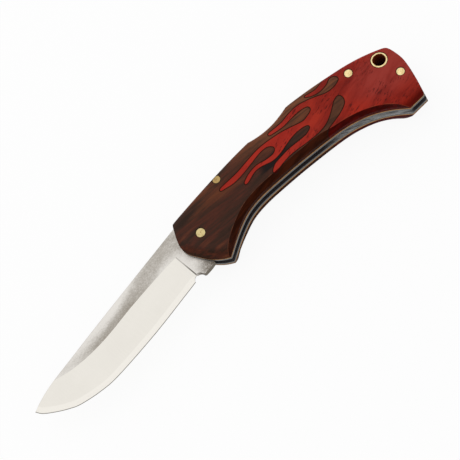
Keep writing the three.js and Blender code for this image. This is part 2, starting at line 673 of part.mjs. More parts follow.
// The room that the blade needs as it closes: its own edge, turned in a little too far and a
// little too long, and the tip's path below it.
function bladeRoom() {
  const pivot = new THREE.Vector2(0, 0);
  const turn = THREE.MathUtils.degToRad(CLOSING_ANGLE + CHANNEL_ROOM_ANGLE);
  const tipR = vectors(BLADE_EDGE)[0].length();
  const edge = smooth(BLADE_EDGE, ROOM_STEP).map((point) => {
    const stretch = 1 + CHANNEL_ROOM / tipR;
    return point.clone().multiplyScalar(stretch).rotateAround(pivot, turn);
  });
  const tipAngle = angleOf(edge[0], pivot);
  const path = arc(pivot, tipR + CHANNEL_ROOM, tipAngle - 12, tipAngle, 6).slice(0, -1);
  return plate([pivot, ...path, ...edge], -PAST, Z_TOP + PAST);
}

function backSpacer(form, holes) {
  const end = LOCK_TAIL_R + LOCK_TAIL_GAP;
  const outline = [
    ...arc(ROCKER_AT, end, 14, -2, 5),
    new THREE.Vector2(TUBE_AT.x - WIDE, SPACER_FOOT),
    new THREE.Vector2(TUBE_AT.x + WIDE, SPACER_FOOT),
    new THREE.Vector2(TUBE_AT.x + WIDE, WIDE),
    new THREE.Vector2(ROCKER_AT.x + end, WIDE),
  ];
  const stock = plate(outline, Z_CHANNEL, Z_NEAR_LINER).intersect(form);
  const slot = plate(leafOutline(LEAF_FIT), -PAST, Z_TOP + PAST);
  return meshOf("back_spacer", stock.subtract(bladeRoom()).subtract(slot).subtract(holes), "linerSteel");
}

const form = handleForm();
const holes = pinHoles();
const knife = new THREE.Group();
knife.add(...handleLayers(form, holes));
knife.add(backSpacer(form, holes));
knife.add(leafSpring());
knife.add(...pins(form));
knife.add(...washers());
knife.add(blade());
knife.add(lockBar());

export default knife;
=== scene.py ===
"""A folding pocket knife with a back lock in the middle of its handle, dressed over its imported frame.

Sizes are millimetres, as in the part's source: X runs from the pivot to the butt, Y from the belly to
the spine, and Z from the far face to the near face. Meshes are turned into metres when they are made.
"""
import logging
import math
from dataclasses import dataclass, field
from enum import Enum
from functools import partial
from typing import Any, Callable, Sequence

import bpy
import numpy as np
from mathutils import Matrix, Vector
from mathutils.geometry import delaunay_2d_cdt
from mathutils.kdtree import KDTree


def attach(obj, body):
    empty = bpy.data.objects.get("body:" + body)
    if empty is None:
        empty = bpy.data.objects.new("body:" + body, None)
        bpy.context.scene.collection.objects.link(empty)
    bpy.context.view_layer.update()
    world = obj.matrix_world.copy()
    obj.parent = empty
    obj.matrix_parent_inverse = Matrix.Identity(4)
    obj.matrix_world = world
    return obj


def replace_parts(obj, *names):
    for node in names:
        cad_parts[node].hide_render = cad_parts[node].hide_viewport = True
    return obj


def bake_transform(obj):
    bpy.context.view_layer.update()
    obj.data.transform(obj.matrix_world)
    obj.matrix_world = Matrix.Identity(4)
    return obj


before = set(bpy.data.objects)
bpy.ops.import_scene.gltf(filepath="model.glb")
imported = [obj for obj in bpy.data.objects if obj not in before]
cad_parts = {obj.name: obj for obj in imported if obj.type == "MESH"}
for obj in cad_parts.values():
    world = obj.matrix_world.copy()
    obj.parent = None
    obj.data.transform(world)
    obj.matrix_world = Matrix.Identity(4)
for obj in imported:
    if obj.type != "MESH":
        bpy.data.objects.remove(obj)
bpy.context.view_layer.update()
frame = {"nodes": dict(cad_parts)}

MM = 0.001
HANDLE_BODY = "handle"
BLADE_BODY = "blade"

LOG = logging.getLogger("pocket_knife")

Array = np.ndarray
Colour = tuple[float, float, float, float]
Points = Sequence[Sequence[float]]
Field = Callable[[Array, Array], Array]

WHITE: Colour = (1.0, 1.0, 1.0, 1.0)


class Side(Enum):
    """The two faces of the knife, as the piece names give them."""

    NEAR = "near"
    FAR = "far"


class Polish(Enum):
    """How bright a pin's brass still is."""

    BRIGHT = "bright"
    RUBBED = "rubbed"
    DULL = "dull"


@dataclass
class Tap:
    """One output socket of a node graph, with operators that add Math nodes.

    Args:
        graph: The graph that the socket belongs to.
        socket: The output socket.
    """

    graph: "Graph"
    socket: bpy.types.NodeSocket

    def __add__(self, other: "Tap | float") -> "Tap":
        """Sum."""
        return self.graph.math("ADD", self, other)

    def __radd__(self, other: float) -> "Tap":
        """Sum with a number on the left."""
        return self.graph.math("ADD", other, self)

    def __sub__(self, other: "Tap | float") -> "Tap":
        """Difference."""
        return self.graph.math("SUBTRACT", self, other)

    def __rsub__(self, other: float) -> "Tap":
        """Difference with a number on the left."""
        return self.graph.math("SUBTRACT", other, self)

    def __mul__(self, other: "Tap | float") -> "Tap":
        """Product."""
        return self.graph.math("MULTIPLY", self, other)

    def __rmul__(self, other: float) -> "Tap":
        """Product with a number on the left."""
        return self.graph.math("MULTIPLY", other, self)

    def step(self, low: float, high: float, start: float = 0.0, end: float = 1.0) -> "Tap":
        """A smooth step from start to end, as this value goes from low to high."""
        feeds = {"Value": self, "From Min": low, "From Max": high, "To Min": start, "To Max": end}
        return self.graph.node("ShaderNodeMapRange", {"interpolation_type": "SMOOTHSTEP"}, **feeds)


Feed = Tap | float | Sequence[float]


@dataclass
class Graph:
    """The node graph of one material or of the world.

    Args:
        tree: The node tree that the nodes are added to.
    """

    tree: bpy.types.NodeTree

    def node(
        self, kind: str, settings: dict[str, Any], output: str | int = 0, **feeds: Feed
    ) -> Tap | None:
        """Adds a node, makes its settings, and then feeds its sockets.

        Args:
            kind: The node's type.
            settings: Its properties, with a ramp's stops under "stops".
            output: Name or index of the output that is returned.
            feeds: The value or link of each input, by name, or by index as i0 where names repeat.

        Returns:
            The chosen output, or nothing for a node that has none.
        """
        made = self.tree.nodes.new(kind)
        for name, value in settings.items():
            if name == "stops":
                self._set_stops(made.color_ramp, value)
            else:
                setattr(made, name, value)
        for name, value in feeds.items():
            by_index = name[0] == "i" and name[1:].isdigit()
            socket = made.inputs[int(name[1:]) if by_index else name]
            if isinstance(value, Tap):
                self.tree.links.new(value.socket, socket)
            else:
                socket.default_value = value
        return Tap(self, made.outputs[output]) if len(made.outputs) else None

    def _set_stops(self, ramp: bpy.types.ColorRamp, stops: Sequence[tuple[float, Colour]]) -> None:
        """Gives a colour ramp its stops.

        Args:
            ramp: The ramp.
            stops: The place and the colour of each stop.
        """
        while len(ramp.elements) < len(stops):
            ramp.elements.new(0.5)
        for element, (place, colour) in zip(ramp.elements, stops):
            element.position = place
            element.color = colour

    def math(self, operation: str, first: Feed, second: Feed) -> Tap:
        """A Math node on two values."""
        return self.node("ShaderNodeMath", {"operation": operation}, i0=first, i1=second)

    def larger(self, first: Feed, second: Feed) -> Tap:
        """The larger of two values."""
        return self.math("MAXIMUM", first, second)

    def mix(self, factor: Feed, below: Feed, above: Feed) -> Tap:
        """One colour laid over another, through the Mix node's colour sockets."""
        settings = {"data_type": "RGBA"}
        return self.node("ShaderNodeMix", settings, output=2, i0=factor, i6=below, i7=above)

    def ramp(self, value: Feed, stops: Sequence[tuple[float, Colour]]) -> Tap:
        """A colour read from a ramp."""
        return self.node("ShaderNodeValToRGB", {"stops": stops}, Fac=value)

    def place(self) -> Tap:
        """The surface point in the part's frame, in millimetres."""
        point = self.node("ShaderNodeTexCoord", {}, output="Object")
        return self.node("ShaderNodeVectorMath", {"operation": "SCALE"}, i0=point, Scale=1 / MM)

    def axis(self, name: str, vector: Tap | None = None) -> Tap:
        """One coordinate of a vector, or else of the surface point."""
        return self.node("ShaderNodeSeparateXYZ", {}, output=name, Vector=vector or self.place())

    def noise(
        self, along: float, across: float, turn: float = 0.0, detail: float = 3.0, rough: float = 0.55,
        warp: float = 0.0,
    ) -> Tap:
        """A noise from 0 to 1, which may be stretched along one direction.

        Args:
            along: Its cells per millimetre along that direction.
            across: Its cells per millimetre across it.
            turn: Degrees from X to that direction, about Z.
            detail: How many finer layers it has.
            rough: How strong the finer layers are.
            warp: How far it is twisted.

        Returns:
            The noise.
        """
        settings, angle = {"rotation_type": "Z_AXIS"}, math.radians(-turn)
        turned = self.node("ShaderNodeVectorRotate", settings, Vector=self.place(), Angle=angle)
        settings, density = {"operation": "MULTIPLY"}, (along, across, across)
        cells = self.node("ShaderNodeVectorMath", settings, i0=turned, i1=density)
        feeds = {"Vector": cells, "Scale": 1.0, "Detail": detail, "Roughness": rough, "Distortion": warp}
        return self.node("ShaderNodeTexNoise", {}, **feeds)

    def bump(self, height: Feed, depth: float, strength: float) -> Tap:
        """The normal of a surface that a height of 1 raises by a depth in millimetres."""
        return self.node("ShaderNodeBump", {}, Height=height, Distance=depth * MM, Strength=strength)

    def facing(self) -> Tap:
        """1 on a level face and 0 on an upright wall, with every slope between."""
        normal = self.node("ShaderNodeNewGeometry", {}, output="Normal")
        return self.math("ABSOLUTE", self.axis("Z", normal), 0.0)

    def upright(self) -> Tap:
        """1 on an upright wall and 0 on all other slopes."""
        return self.facing().step(0.4, 0.1)

    def mark(self, name: str) -> Tap:
        """A value in millimetres that the mesh carries."""
        return self.node("ShaderNodeAttribute", {"attribute_name": name}, output="Fac")

    def surface(self, **feeds: Feed) -> None:
        """Ends the graph in a Principled shader.

        Args:
            feeds: The shader's inputs, with underscores for spaces.
        """
        named = {name.replace("_", " "): value for name, value in feeds.items()}
        shader = self.node("ShaderNodeBsdfPrincipled", {}, **named)
        self.node("ShaderNodeOutputMaterial", {}, Surface=shader)


def shown(red: float, green: float, blue: float) -> Colour:
    """A colour as a screen shows it, turned into the shader's linear one.

    Args:
        red: Its red, from 0 to 255.
        green: Its green.
        blue: Its blue.

    Returns:
        The linear colour, with full alpha.
    """
    share = np.array([red, green, blue]) / 255
    straight = np.where(share <= 0.04045, share / 12.92, ((share + 0.055) / 1.055) ** 2.4)
    return (*straight.tolist(), 1.0)


# Keeps steel that is seen at a low angle darker than the white room.
LOW_ANGLE_TINT = shown(150, 150, 150)


def empty_material(name: str) -> tuple[bpy.types.Material, Graph]:
    """A material whose graph has no nodes yet.

    Args:
        name: Its name.

    Returns:
        The material and its graph.
    """
    material = bpy.data.materials.new(name)
    material.use_nodes = True
    material.node_tree.nodes.clear()
    return material, Graph(material.node_tree)


@dataclass(frozen=True)
class Wood:
    """What both woods share: painted shade on the ground bevel and the walls, a painted highlight along
    the crease above it, and grime along the joints.

    Args:
        bevel: The ground bevel along the belly, and the walls, darkened as painted shade where they face
            away from the light.
        crease_highlight: A painted highlight along the crease, in patches.
        grime: The dirt beside the joint and round the pins.
    """

    bevel: Colour = shown(51, 18, 5)
    crease_highlight: Colour = shown(150, 84, 54)
    grime: Colour = shown(20, 12, 9)

    def finish(self, graph: Graph, colour: Tap, gloss: Tap, normal: Tap) -> None:
        """Colours the bevel, the crease and the joints, and ends the graph.

        Args:
            graph: The wood's graph.
            colour: Its colour on the open face.
            gloss: Its roughness.
            normal: Its normal.
        """
        over_crease = graph.mark("over_crease")
        # Painted shade: the bevel below the crease and every upright wall take the darker bevel colour,
        # broken up by grain.
        ground = graph.larger(over_crease.step(0.08, -0.12), graph.upright())
        grain = graph.noise(0.06, 0.55, turn=12.0).step(0.36, 0.64)
        deeper, paler = ((*(share * part for part in self.bevel[:3]), 1.0) for share in (0.66, 1.4))
        colour = graph.mix(ground, colour, graph.mix(grain, deeper, paler))
        # Painted highlight: a paler line along the crease, in patches.
        rubbed = over_crease.step(-0.1, 0.05) * over_crease.step(0.32, 0.1)
        patchy = graph.noise(0.2, 0.2).step(0.4, 0.65)
        colour = graph.mix(rubbed * patchy * 0.35, colour, self.crease_highlight)
        joint = graph.mark("to_joint").step(0.4, 0.14) * 0.35
        ring = graph.mark("to_pin").step(0.4, 0.14) * 0.7
        colour = graph.mix(graph.larger(joint, ring), colour, self.grime)
        coat = graph.facing().step(0.6, 0.95) * 0.12
        graph.surface(
            Base_Color=colour, Roughness=gloss, Normal=normal, Specular_IOR_Level=0.02,
            Coat_Weight=coat, Coat_Roughness=0.3,
        )


@dataclass(frozen=True)
class Rosewood(Wood):
    """Dark streaky wood, oiled and buffed.

    Args:
        streaks: Colours from the darkest streak to the palest.
        pale: The wood toward the middle of the spine, paler partly by its grain and partly as painted
            light from above.
        amber: The warm patch above the pivot.
        ink: The blackened finger of wood near the belly.
        pore: The open pores.
        roughness: Roughness of the buffed face.
    """

    streaks: tuple[Colour, ...] = (
        shown(46, 31, 23), shown(57, 36, 27), shown(73, 38, 28), shown(96, 53, 34),
    )
    pale: Colour = shown(120, 72, 46)
    amber: Colour = shown(110, 62, 36)
    ink: Colour = shown(16, 15, 16)
    pore: Colour = shown(26, 15, 10)
    roughness: float = 0.46

    def material(self) -> bpy.types.Material:
        """Streaks along the handle, fine pores, and darkened joints.

        Returns:
            The material.
        """
        material, graph = empty_material("rosewood")
        broad = graph.noise(0.03, 0.26, turn=1.5, detail=4.0, warp=0.5)
        fine = graph.noise(0.09, 0.9, turn=-1.0, rough=0.5)
        tone = broad * 0.7 + fine * 0.3
        colour = graph.ramp(tone, list(zip((0.38, 0.47, 0.55, 0.66), self.streaks)))
        along = graph.axis("X")
        up = graph.axis("Y")
        # Partly painted light: the wood toward the spine is paler, as if lit from above, and the wood
        # toward the rear is paler too; both are broken up by the grain.
        spine = along.step(14.0, 50.0) * up.step(6.0, 16.0)
        paler = graph.larger(spine, along.step(52.0, 66.0) * 0.5)
        colour = graph.mix(paler * fine.step(0.3, 0.62, 0.3, 0.85), colour, self.pale)
        amber = along.step(-5.0, 4.0) * along.step(24.0, 12.0) * up.step(3.0, 9.0) * broad.step(0.36, 0.6)
        colour = graph.mix(amber * 0.4, colour, self.amber)
        ink = along.step(30.0, 34.0) * along.step(49.0, 42.0) * up.step(1.8, 2.8) * up.step(7.4, 6.0)
        colour = graph.mix(ink * 0.85, colour, self.ink)
        pores = graph.noise(0.4, 6.5, detail=2.0).step(0.58, 0.7)
        colour = graph.mix(pores * 0.5, colour, self.pore)
        gloss = fine.step(0.2, 0.8, self.roughness - 0.06, self.roughness + 0.1)
        self.finish(graph, colour, gloss, graph.bump(fine * 0.5 - pores, 0.02, 0.5))
        return material


@dataclass(frozen=True)
class RedWood(Wood):
    """Wood dyed red, with slanted pores that took more of the dye.

    Args:
        tones: Colours from the deepest to the brightest figure.
        grey_sheen: Painted sheen, a duller greyish red toward the butt.
        lick: The clear red of the flame's licks.
        warm: The brighter red beside the bevel.
        pore: The short dark pores.
        bevel: The ground bevel along the belly, also laid on the rounded rims; painted shade, where they
            face away from the light.
        roughness: Roughness of the buffed face.
    """

    tones: tuple[Colour, ...] = (shown(108, 20, 12), shown(136, 33, 22), shown(158, 43, 28))
    grey_sheen: Colour = shown(150, 56, 48)
    lick: Colour = shown(182, 46, 34)
    warm: Colour = shown(166, 38, 20)
    pore: Colour = shown(74, 14, 10)
    bevel: Colour = shown(66, 6, 3)
    roughness: float = 0.44

    def material(self) -> bpy.types.Material:
        """A cloudy figure, slanted streaks and short dark pores.

        Returns:
            The material.
        """
        material, graph = empty_material("red_wood")
        figure = graph.noise(0.06, 0.2, turn=20.0, detail=4.0, rough=0.6, warp=0.6)
        streak = graph.noise(0.12, 1.1, turn=20.0, detail=4.0, rough=0.6)
        tone = figure * 0.8 + streak * 0.2
        colour = graph.ramp(tone, list(zip((0.34, 0.5, 0.66), self.tones)))
        along = graph.axis("X")
        up = graph.axis("Y")
        # Painted sheen: a greyer, duller red over the rear of the face, by the tube.
        grey_sheen = along.step(70.0, 88.0) * up.step(-8.0, 0.0) * up.step(15.0, 9.0)
        colour = graph.mix(grey_sheen * figure.step(0.35, 0.6, 0.3, 0.8), colour, self.grey_sheen)
        colour = graph.mix(along.step(62.0, 48.0) * 0.4, colour, self.lick)
        warm = along.step(64.0, 74.0) * graph.mark("over_crease").step(7.0, 1.5)
        colour = graph.mix(warm * figure.step(0.35, 0.6, 0.4) * 0.5, colour, self.warm)
        dash = graph.noise(0.42, 1.7, turn=24.0)
        grove = graph.noise(0.1, 0.13, detail=2.0).step(0.44, 0.58)
        pores = dash.step(0.57, 0.62) * grove
        colour = graph.mix(pores * 0.75, colour, self.pore)
        # Painted shade: the rounded-over rims at the front and the foot take the darker bevel colour.
        colour = graph.mix(graph.mark("rounding").step(0.05, 0.75) * 0.75, colour, self.bevel)
        gloss = streak.step(0.2, 0.8, self.roughness - 0.05, self.roughness + 0.1)
        self.finish(graph, colour, gloss, graph.bump(streak * 0.4 - pores, 0.03, 0.5))
        return material


@dataclass(frozen=True)
class Glue:
    """The thin dark joint between the woods.

    Args:
        dark: Most of the line.
        pale: Its paler grains.
    """

    dark: Colour = shown(32, 17, 11)
    pale: Colour = shown(52, 26, 18)

    def material(self) -> bpy.types.Material:
        """A dark line with a little unevenness.

        Returns:
            The material.
        """
        material, graph = empty_material("glue_line")
        grain = graph.noise(1.5, 1.5, detail=2.0)
        colour = graph.mix(grain, self.dark, self.pale)
        graph.surface(Base_Color=colour, Roughness=0.6, Specular_IOR_Level=0.02)
        return material


@dataclass(frozen=True)
class Brass:
    """Brass, filed flush and lightly polished.

    Args:
        name: The material's name.
        bright: The clean metal.
        dull: The metal where it has darkened.
        roughness: Roughness of the clean metal.
        tarnish: The unpolished metal inside a bore.
    """

    name: str = "brass"
    bright: Colour = shown(250, 229, 172)
    dull: Colour = shown(212, 183, 125)
    roughness: float = 0.34
    tarnish: Colour = shown(112, 46, 20)

    def material(self) -> bpy.types.Material:
        """Clouded metal with fine scratches, darkened inside a bore.

        Returns:
            The material.
        """
        material, graph = empty_material(self.name)
        cloud = graph.noise(0.7, 0.7)
        scratch = graph.noise(0.8, 9.0, turn=35.0, detail=2.0)
        colour = graph.mix(cloud.step(0.4, 0.75), self.bright, self.dull)
        colour = graph.mix(scratch.step(0.62, 0.75, 0.0, 0.35), colour, self.dull)
        tarnish = graph.mark("tarnish")
        colour = graph.mix(tarnish, colour, self.tarnish)
        gloss = scratch.step(0.3, 0.7, self.roughness, self.roughness + 0.14)
        normal = graph.bump(scratch, 0.004, 0.5)
        graph.surface(
            Base_Color=colour, Metallic=1.0 - tarnish, Roughness=gloss, Normal=normal,
            Specular_IOR_Level=0.0,
        )
        return material


@dataclass(frozen=True)
class BrushedSteel:
    """Ground steel with lines along the handle.

    Args:
        name: The material's name.
        bright: The metal on the crest of a line.
        dull: The metal between lines.
        roughness: Roughness of the metal.
        channel_shade: Painted shade: a dark non-metal on the level faces, which line the blade's channel.
        channel_light: Painted light on the level faces in the channel's rear, broken into streaks.
    """

    name: str = "liner_steel"
    bright: Colour = shown(112, 112, 110)
    dull: Colour = shown(78, 78, 79)
    roughness: float = 0.42
    channel_shade: Colour = shown(50, 46, 49)
    channel_light: Colour = shown(196, 197, 196)

    def material(self) -> bpy.types.Material:
        """Grey metal with fine lines and faint spots, with painted shade on the level faces in the
        channel and painted light in its rear.

        Returns:
            The material.
        """
        material, graph = empty_material(self.name)
        lines = graph.noise(0.12, 8.0)
        spots = graph.noise(0.5, 0.5, detail=4.0)
        colour = graph.mix(lines * 0.6 + spots * 0.4, self.dull, self.bright)
        level = 1.0 - graph.upright()
        along = graph.axis("X")
        streaks = graph.noise(0.12, 1.6, turn=-28.0, detail=4.0, rough=0.6)
        rear = along.step(54.0, 70.0) * along.step(91.0, 88.0)
        # Painted shade: the level faces, inside the blade's channel, are a dark non-metal.
        colour = graph.mix(level, colour, self.channel_shade)
        # Painted light: the level faces in the channel's rear are pale, in streaks, where light would
        # reach in.
        colour = graph.mix(rear * level * streaks.step(0.38, 0.6, 0.3, 1.0), colour, self.channel_light)
        gloss = lines.step(0.3, 0.7, self.roughness - 0.06, self.roughness + 0.1)
        normal = graph.bump(lines, 0.004, 0.6)
        graph.surface(Base_Color=colour, Metallic=1.0 - level, Roughness=gloss, Normal=normal)
        return material


@dataclass(frozen=True)
class SatinFlat:
    """The blade's flat sides: satin steel, cloudy and finely speckled.

    Args:
        pale: The metal along the back.
        deep: The metal along the grind line.
        stain: The darker patches by the kick.
        shadow: Painted shade on the tang's walls.
        roughness: Roughness of the metal.
    """

    pale: Colour = shown(230, 226, 220)
    deep: Colour = shown(158, 151, 141)
    stain: Colour = shown(120, 111, 100)
    shadow: Colour = shown(130, 123, 113)
    roughness: float = 0.38

    def material(self) -> bpy.types.Material:
        """Metal that deepens toward the grind line, with clouds and a fine speckle.

        Returns:
            The material.
        """
        material, graph = empty_material("blade_satin")
        clouds = graph.noise(0.09, 0.2, turn=14.0, detail=4.0, rough=0.6, warp=0.4)
        speckle = graph.noise(1.5, 2.0, turn=14.0, rough=0.75)
        along = graph.axis("X")
        up = graph.axis("Y")
        band = graph.math("ABSOLUTE", graph.mark("over_grind") - along.step(-42.0, -12.0, 0.0, 6.5), 0.0)
        band = band * along.step(-44.0, -24.0, 1.0, 0.6)
        run = along.step(-80.0, -50.0) * along.step(-40.0, -24.0, 0.7, 0.52)
        upper = graph.larger(up.step(-1.0, 3.0), along.step(-16.0, -22.0))
        shade = band.step(5.6, 0.6) * run * upper
        tone = shade + (clouds - 0.5) * 0.6 + (speckle - 0.5) * (0.4 + shade * 0.8) + 0.12
        colour = graph.mix(tone.step(0.0, 1.0), self.pale, self.deep)
        by_kick = up.step(-4.0, -10.0) * along.step(-12.0, -5.5)
        colour = graph.mix(by_kick * speckle.step(0.25, 0.6, 0.3, 1.0), colour, self.stain)
        # Painted shade: the tang's upright walls are darkened.
        wall = graph.upright() * along.step(-12.0, -9.0)
        colour = graph.mix(wall * 0.8, colour, self.shadow)
        gloss = speckle.step(0.3, 0.7, self.roughness - 0.05, self.roughness + 0.08)
        normal = graph.bump(speckle, 0.004, 0.5)
        graph.surface(
            Base_Color=colour, Metallic=1.0, Roughness=gloss, Normal=normal, Specular_Tint=LOW_ANGLE_TINT,
        )
        return material


@dataclass(frozen=True)
class GroundBevel:
    """The blade's ground bevel and its honed edge: bright steel with faint lines across it.

    Args:
        bright: The ground metal.
        dull: The metal between the grinding lines.
        honed: The strip beside the edge.
        rim: The very edge, where its darkness is a painted dark reflection on the honed micro-bevel, and
            the foot of the plunge line.
        roughness: Roughness of the metal.
    """

    bright: Colour = shown(241, 237, 229)
    dull: Colour = shown(228, 224, 216)
    honed: Colour = shown(241, 237, 229)
    rim: Colour = shown(124, 120, 114)
    roughness: float = 0.3

    def material(self) -> bpy.types.Material:
        """Lines across the bevel, a honed strip, and a dark line along the edge and the plunge.

        Returns:
            The material.
        """
        material, graph = empty_material("blade_ground")
        across = graph.noise(4.5, 0.12, turn=12.0)
        cloud = graph.noise(0.05, 0.1, turn=14.0)
        to_edge = graph.mark("to_edge")
        colour = graph.mix(across * 0.35 + cloud * 0.65, self.bright, self.dull)
        colour = graph.mix(to_edge.step(2.6, 2.3), colour, self.honed)
        foot = graph.mark("to_plunge").step(0.55, 0.35) * graph.axis("Y").step(-1.0, -7.0, 0.5)
        # Painted reflection: a dark line along the very edge; the same colour darkens the plunge line's
        # foot.
        rim = graph.larger(to_edge.step(0.32, 0.16), foot)
        colour = graph.mix(rim, colour, self.rim)
        gloss = across.step(0.3, 0.7, self.roughness, self.roughness + 0.1)
        normal = graph.bump(across, 0.002, 0.5)
        graph.surface(
            Base_Color=colour, Metallic=1.0, Roughness=gloss, Normal=normal, Specular_Tint=LOW_ANGLE_TINT,
        )
        return material


def soft(share: Array) -> Array:
    """A share from 0 to 1, eased at both ends."""
    return share * share * (3 - 2 * share)


def unit(vectors: Array) -> Array:
    """Vectors made one long."""
    return vectors / np.maximum(np.linalg.norm(vectors, axis=-1, keepdims=True), 1e-12)


def smooth(points: Points, step: float) -> Array:
    """Evenly spaced points on the smooth curve through the given ones.

    Args:
        points: The points that the curve passes.
        step: Distance between the new points, at most.

    Returns:
        The new points.
    """
    given = np.asarray(points, float)
    t = np.linspace(0, 1, 25)[:-1, None]
    parts = []
    for i in range(len(given) - 1):
        start, end = given[i], given[i + 1]
        leave = (end - given[max(i - 1, 0)]) / 2
        arrive = (given[min(i + 2, len(given) - 1)] - start) / 2
        cubic = 2 * start - 2 * end + leave + arrive
        square = 3 * end - 3 * start - 2 * leave - arrive
        parts.append(cubic * t**3 + square * t**2 + leave * t + start)
    return spaced(np.vstack([*parts, given[-1:]]), step)


def spaced(line: Array, step: float) -> Array:
    """Points spread evenly along a line of straight pieces.

    Args:
        line: The line's points.
        step: Distance between the new points, at most.

    Returns:
        The new points.
    """
    length = np.concatenate([[0], np.cumsum(np.linalg.norm(np.diff(line, axis=0), axis=1))])
    stops = np.linspace(0, length[-1], math.ceil(length[-1] / step) + 1)
    return np.column_stack([np.interp(stops, length, line[:, 0]), np.interp(stops, length, line[:, 1])])


def arc(center: Sequence[float], radius: float, start: float, end: float, steps: int) -> Array:
    """Points on an arc about a centre, between two angles in degrees."""
    angles = np.radians(np.linspace(start, end, steps + 1))
    return np.column_stack([center[0] + radius * np.cos(angles), center[1] + radius * np.sin(angles)])


def gap(x: Array, y: Array, line: Array) -> Array:
    """How far points lie from a line of straight pieces.

    Args:
        x: The points' X.
        y: The points' Y.
        line: The line's points.

    Returns:
        The distances, in the shape of x.
    """
    points = np.stack([np.ravel(x), np.ravel(y)], -1)
    least = np.full(len(points), np.inf)
    for start, end in zip(line[:-1], line[1:]):
        along = end - start
        share = np.clip((points - start) @ along / max(along @ along, 1e-12), 0, 1)
        offset = points - start - share[:, None] * along
        np.minimum(least, np.einsum("ij,ij->i", offset, offset), out=least)
    return np.sqrt(least).reshape(np.shape(x))


def inside(polygon: Array, x: Array, y: Array) -> Array:
    """Whether points lie in a polygon.

    Args:
        polygon: The polygon's corners.
        x: The points' X.
        y: The points' Y.

    Returns:
        True for each point that does.
    """
    flat_x, flat_y = np.ravel(x), np.ravel(y)
    odd = np.zeros(len(flat_x), bool)
    for (x0, y0), (x1, y1) in zip(polygon, np.roll(polygon, -1, axis=0)):
        if y0 != y1:
            crosses = (y0 > flat_y) != (y1 > flat_y)
            odd ^= crosses & (flat_x < (x1 - x0) * (flat_y - y0) / (y1 - y0) + x0)
    return odd.reshape(np.shape(x))


def beside(line: Array, distance: float) -> Array:
    """A line moved sideways, to its left for a positive distance.

    Args:
        line: The line's points.
        distance: How far it moves.

    Returns:
        The moved points, without those that another stretch of the line comes too near to.
    """
    run = unit(np.diff(line, axis=0))
    left = np.column_stack([-run[:, 1], run[:, 0]])
    before = np.vstack([left[:1], left])
    after = np.vstack([left, left[-1:]])
    way = unit(before + after)
    turn = before[:, 0] * after[:, 1] - before[:, 1] * after[:, 0]
    sharpest, outer_reach, clear = 0.02, 1.2, 0.97
    reach = 1 / np.maximum((way * before).sum(1), sharpest)
    reach = np.where(np.sign(turn) == np.sign(distance), reach, np.minimum(reach, outer_reach))
    moved = line + way * distance * reach[:, None]
    return moved[gap(moved[:, 0], moved[:, 1], line) > abs(distance) * clear]


class Profile:
    """A height along X: a cubic through given points.

    Args:
        points: The points, from low X to high X.
    """

    def __init__(self, points: Points) -> None:
        """Keeps the points' X and Y."""
        self.x, self.y = np.asarray(points, float).T

    def __call__(self, x: Array) -> Array:
        """The height at each X.

        Args:
            x: Places along X.

        Returns:
            The heights.
        """
        last = len(self.x) - 2
        i = np.clip(np.searchsorted(self.x, x, side="right") - 1, 0, last)
        before, after = np.maximum(i - 1, 0), np.minimum(i + 2, last + 1)
        span = self.x[i + 1] - self.x[i]
        t = (x - self.x[i]) / span
        leave = (self.y[i + 1] - self.y[before]) / (self.x[i + 1] - self.x[before]) * span
        arrive = (self.y[after] - self.y[i]) / (self.x[after] - self.x[i]) * span
        rise = (3 * t**2 - 2 * t**3) * (self.y[i + 1] - self.y[i])
        return self.y[i] + rise + (t**3 - 2 * t**2 + t) * leave + (t**3 - t**2) * arrive


@dataclass
class Tiling:
    """Triangles over a plan, with chosen lines among their edges.

    Args:
        lines: The lines, each a run of points.
        spacing: Distance between the points that fill the space between them, or 0 for none.
        row_pitch: Distance between the rows of those points, as a share of the spacing.
    """

    lines: list[Array]
    spacing: float = 0.0
    row_pitch: float = 0.866

    def cut(self, keep: Field | None = None) -> tuple[Array, Array]:
        """Makes the triangles.

        Args:
            keep: Tells which of the filling points are wanted.

        Returns:
            The points, and the triangles as index triples, all counter-clockwise.
        """
        points: list[Any] = []
        edges: list[tuple[int, int]] = []
        for line in self.lines:
            start = len(points)
            points.extend(Vector(point) for point in line)
            edges.extend((start + i, start + i + 1) for i in range(len(line) - 1))
        if self.spacing:
            points.extend(self._filling(np.vstack(self.lines), keep))
        merged_within = 1e-5
        found, _, faces, *_ = delaunay_2d_cdt(points, edges, [], 0, merged_within, False)
        every = np.round([tuple(point) for point in found], 4)
        places, index = np.unique(every, axis=0, return_inverse=True)
        triangles = index.reshape(-1)[np.array(faces)]
        a, b, c = triangles.T
        return places, triangles[(a != b) & (b != c) & (c != a)]

    def _filling(self, taken: Array, keep: Field | None) -> list[Vector]:
        """Points in staggered rows, clear of the lines.

        Args:
            taken: The points of the lines.
            keep: Tells which of the filling points are wanted.

        Returns:
            The filling points.
        """
        tree = KDTree(len(taken))
        for i, (x, y) in enumerate(taken):
            tree.insert((x, y, 0), i)
        tree.balance()
        low, high = taken.min(0), taken.max(0)
        rows = np.arange(low[1], high[1], self.spacing * self.row_pitch)
        columns = np.arange(low[0], high[0], self.spacing)
        grid = np.array([
            (x + (k % 2) * self.spacing / 2, y) for k, y in enumerate(rows) for x in columns
        ])
        if keep is not None:
            grid = grid[keep(grid[:, 0], grid[:, 1])]
        clear = self.spacing * 0.5
        return [Vector((x, y)) for x, y in grid if tree.find((x, y, 0))[2] > clear]


def kept(plan: Array, faces: Array, keep: Field) -> Array:
    """The triangles of a plan whose middles pass a test."""
    return faces[keep(*plan[faces].mean(1).T)]


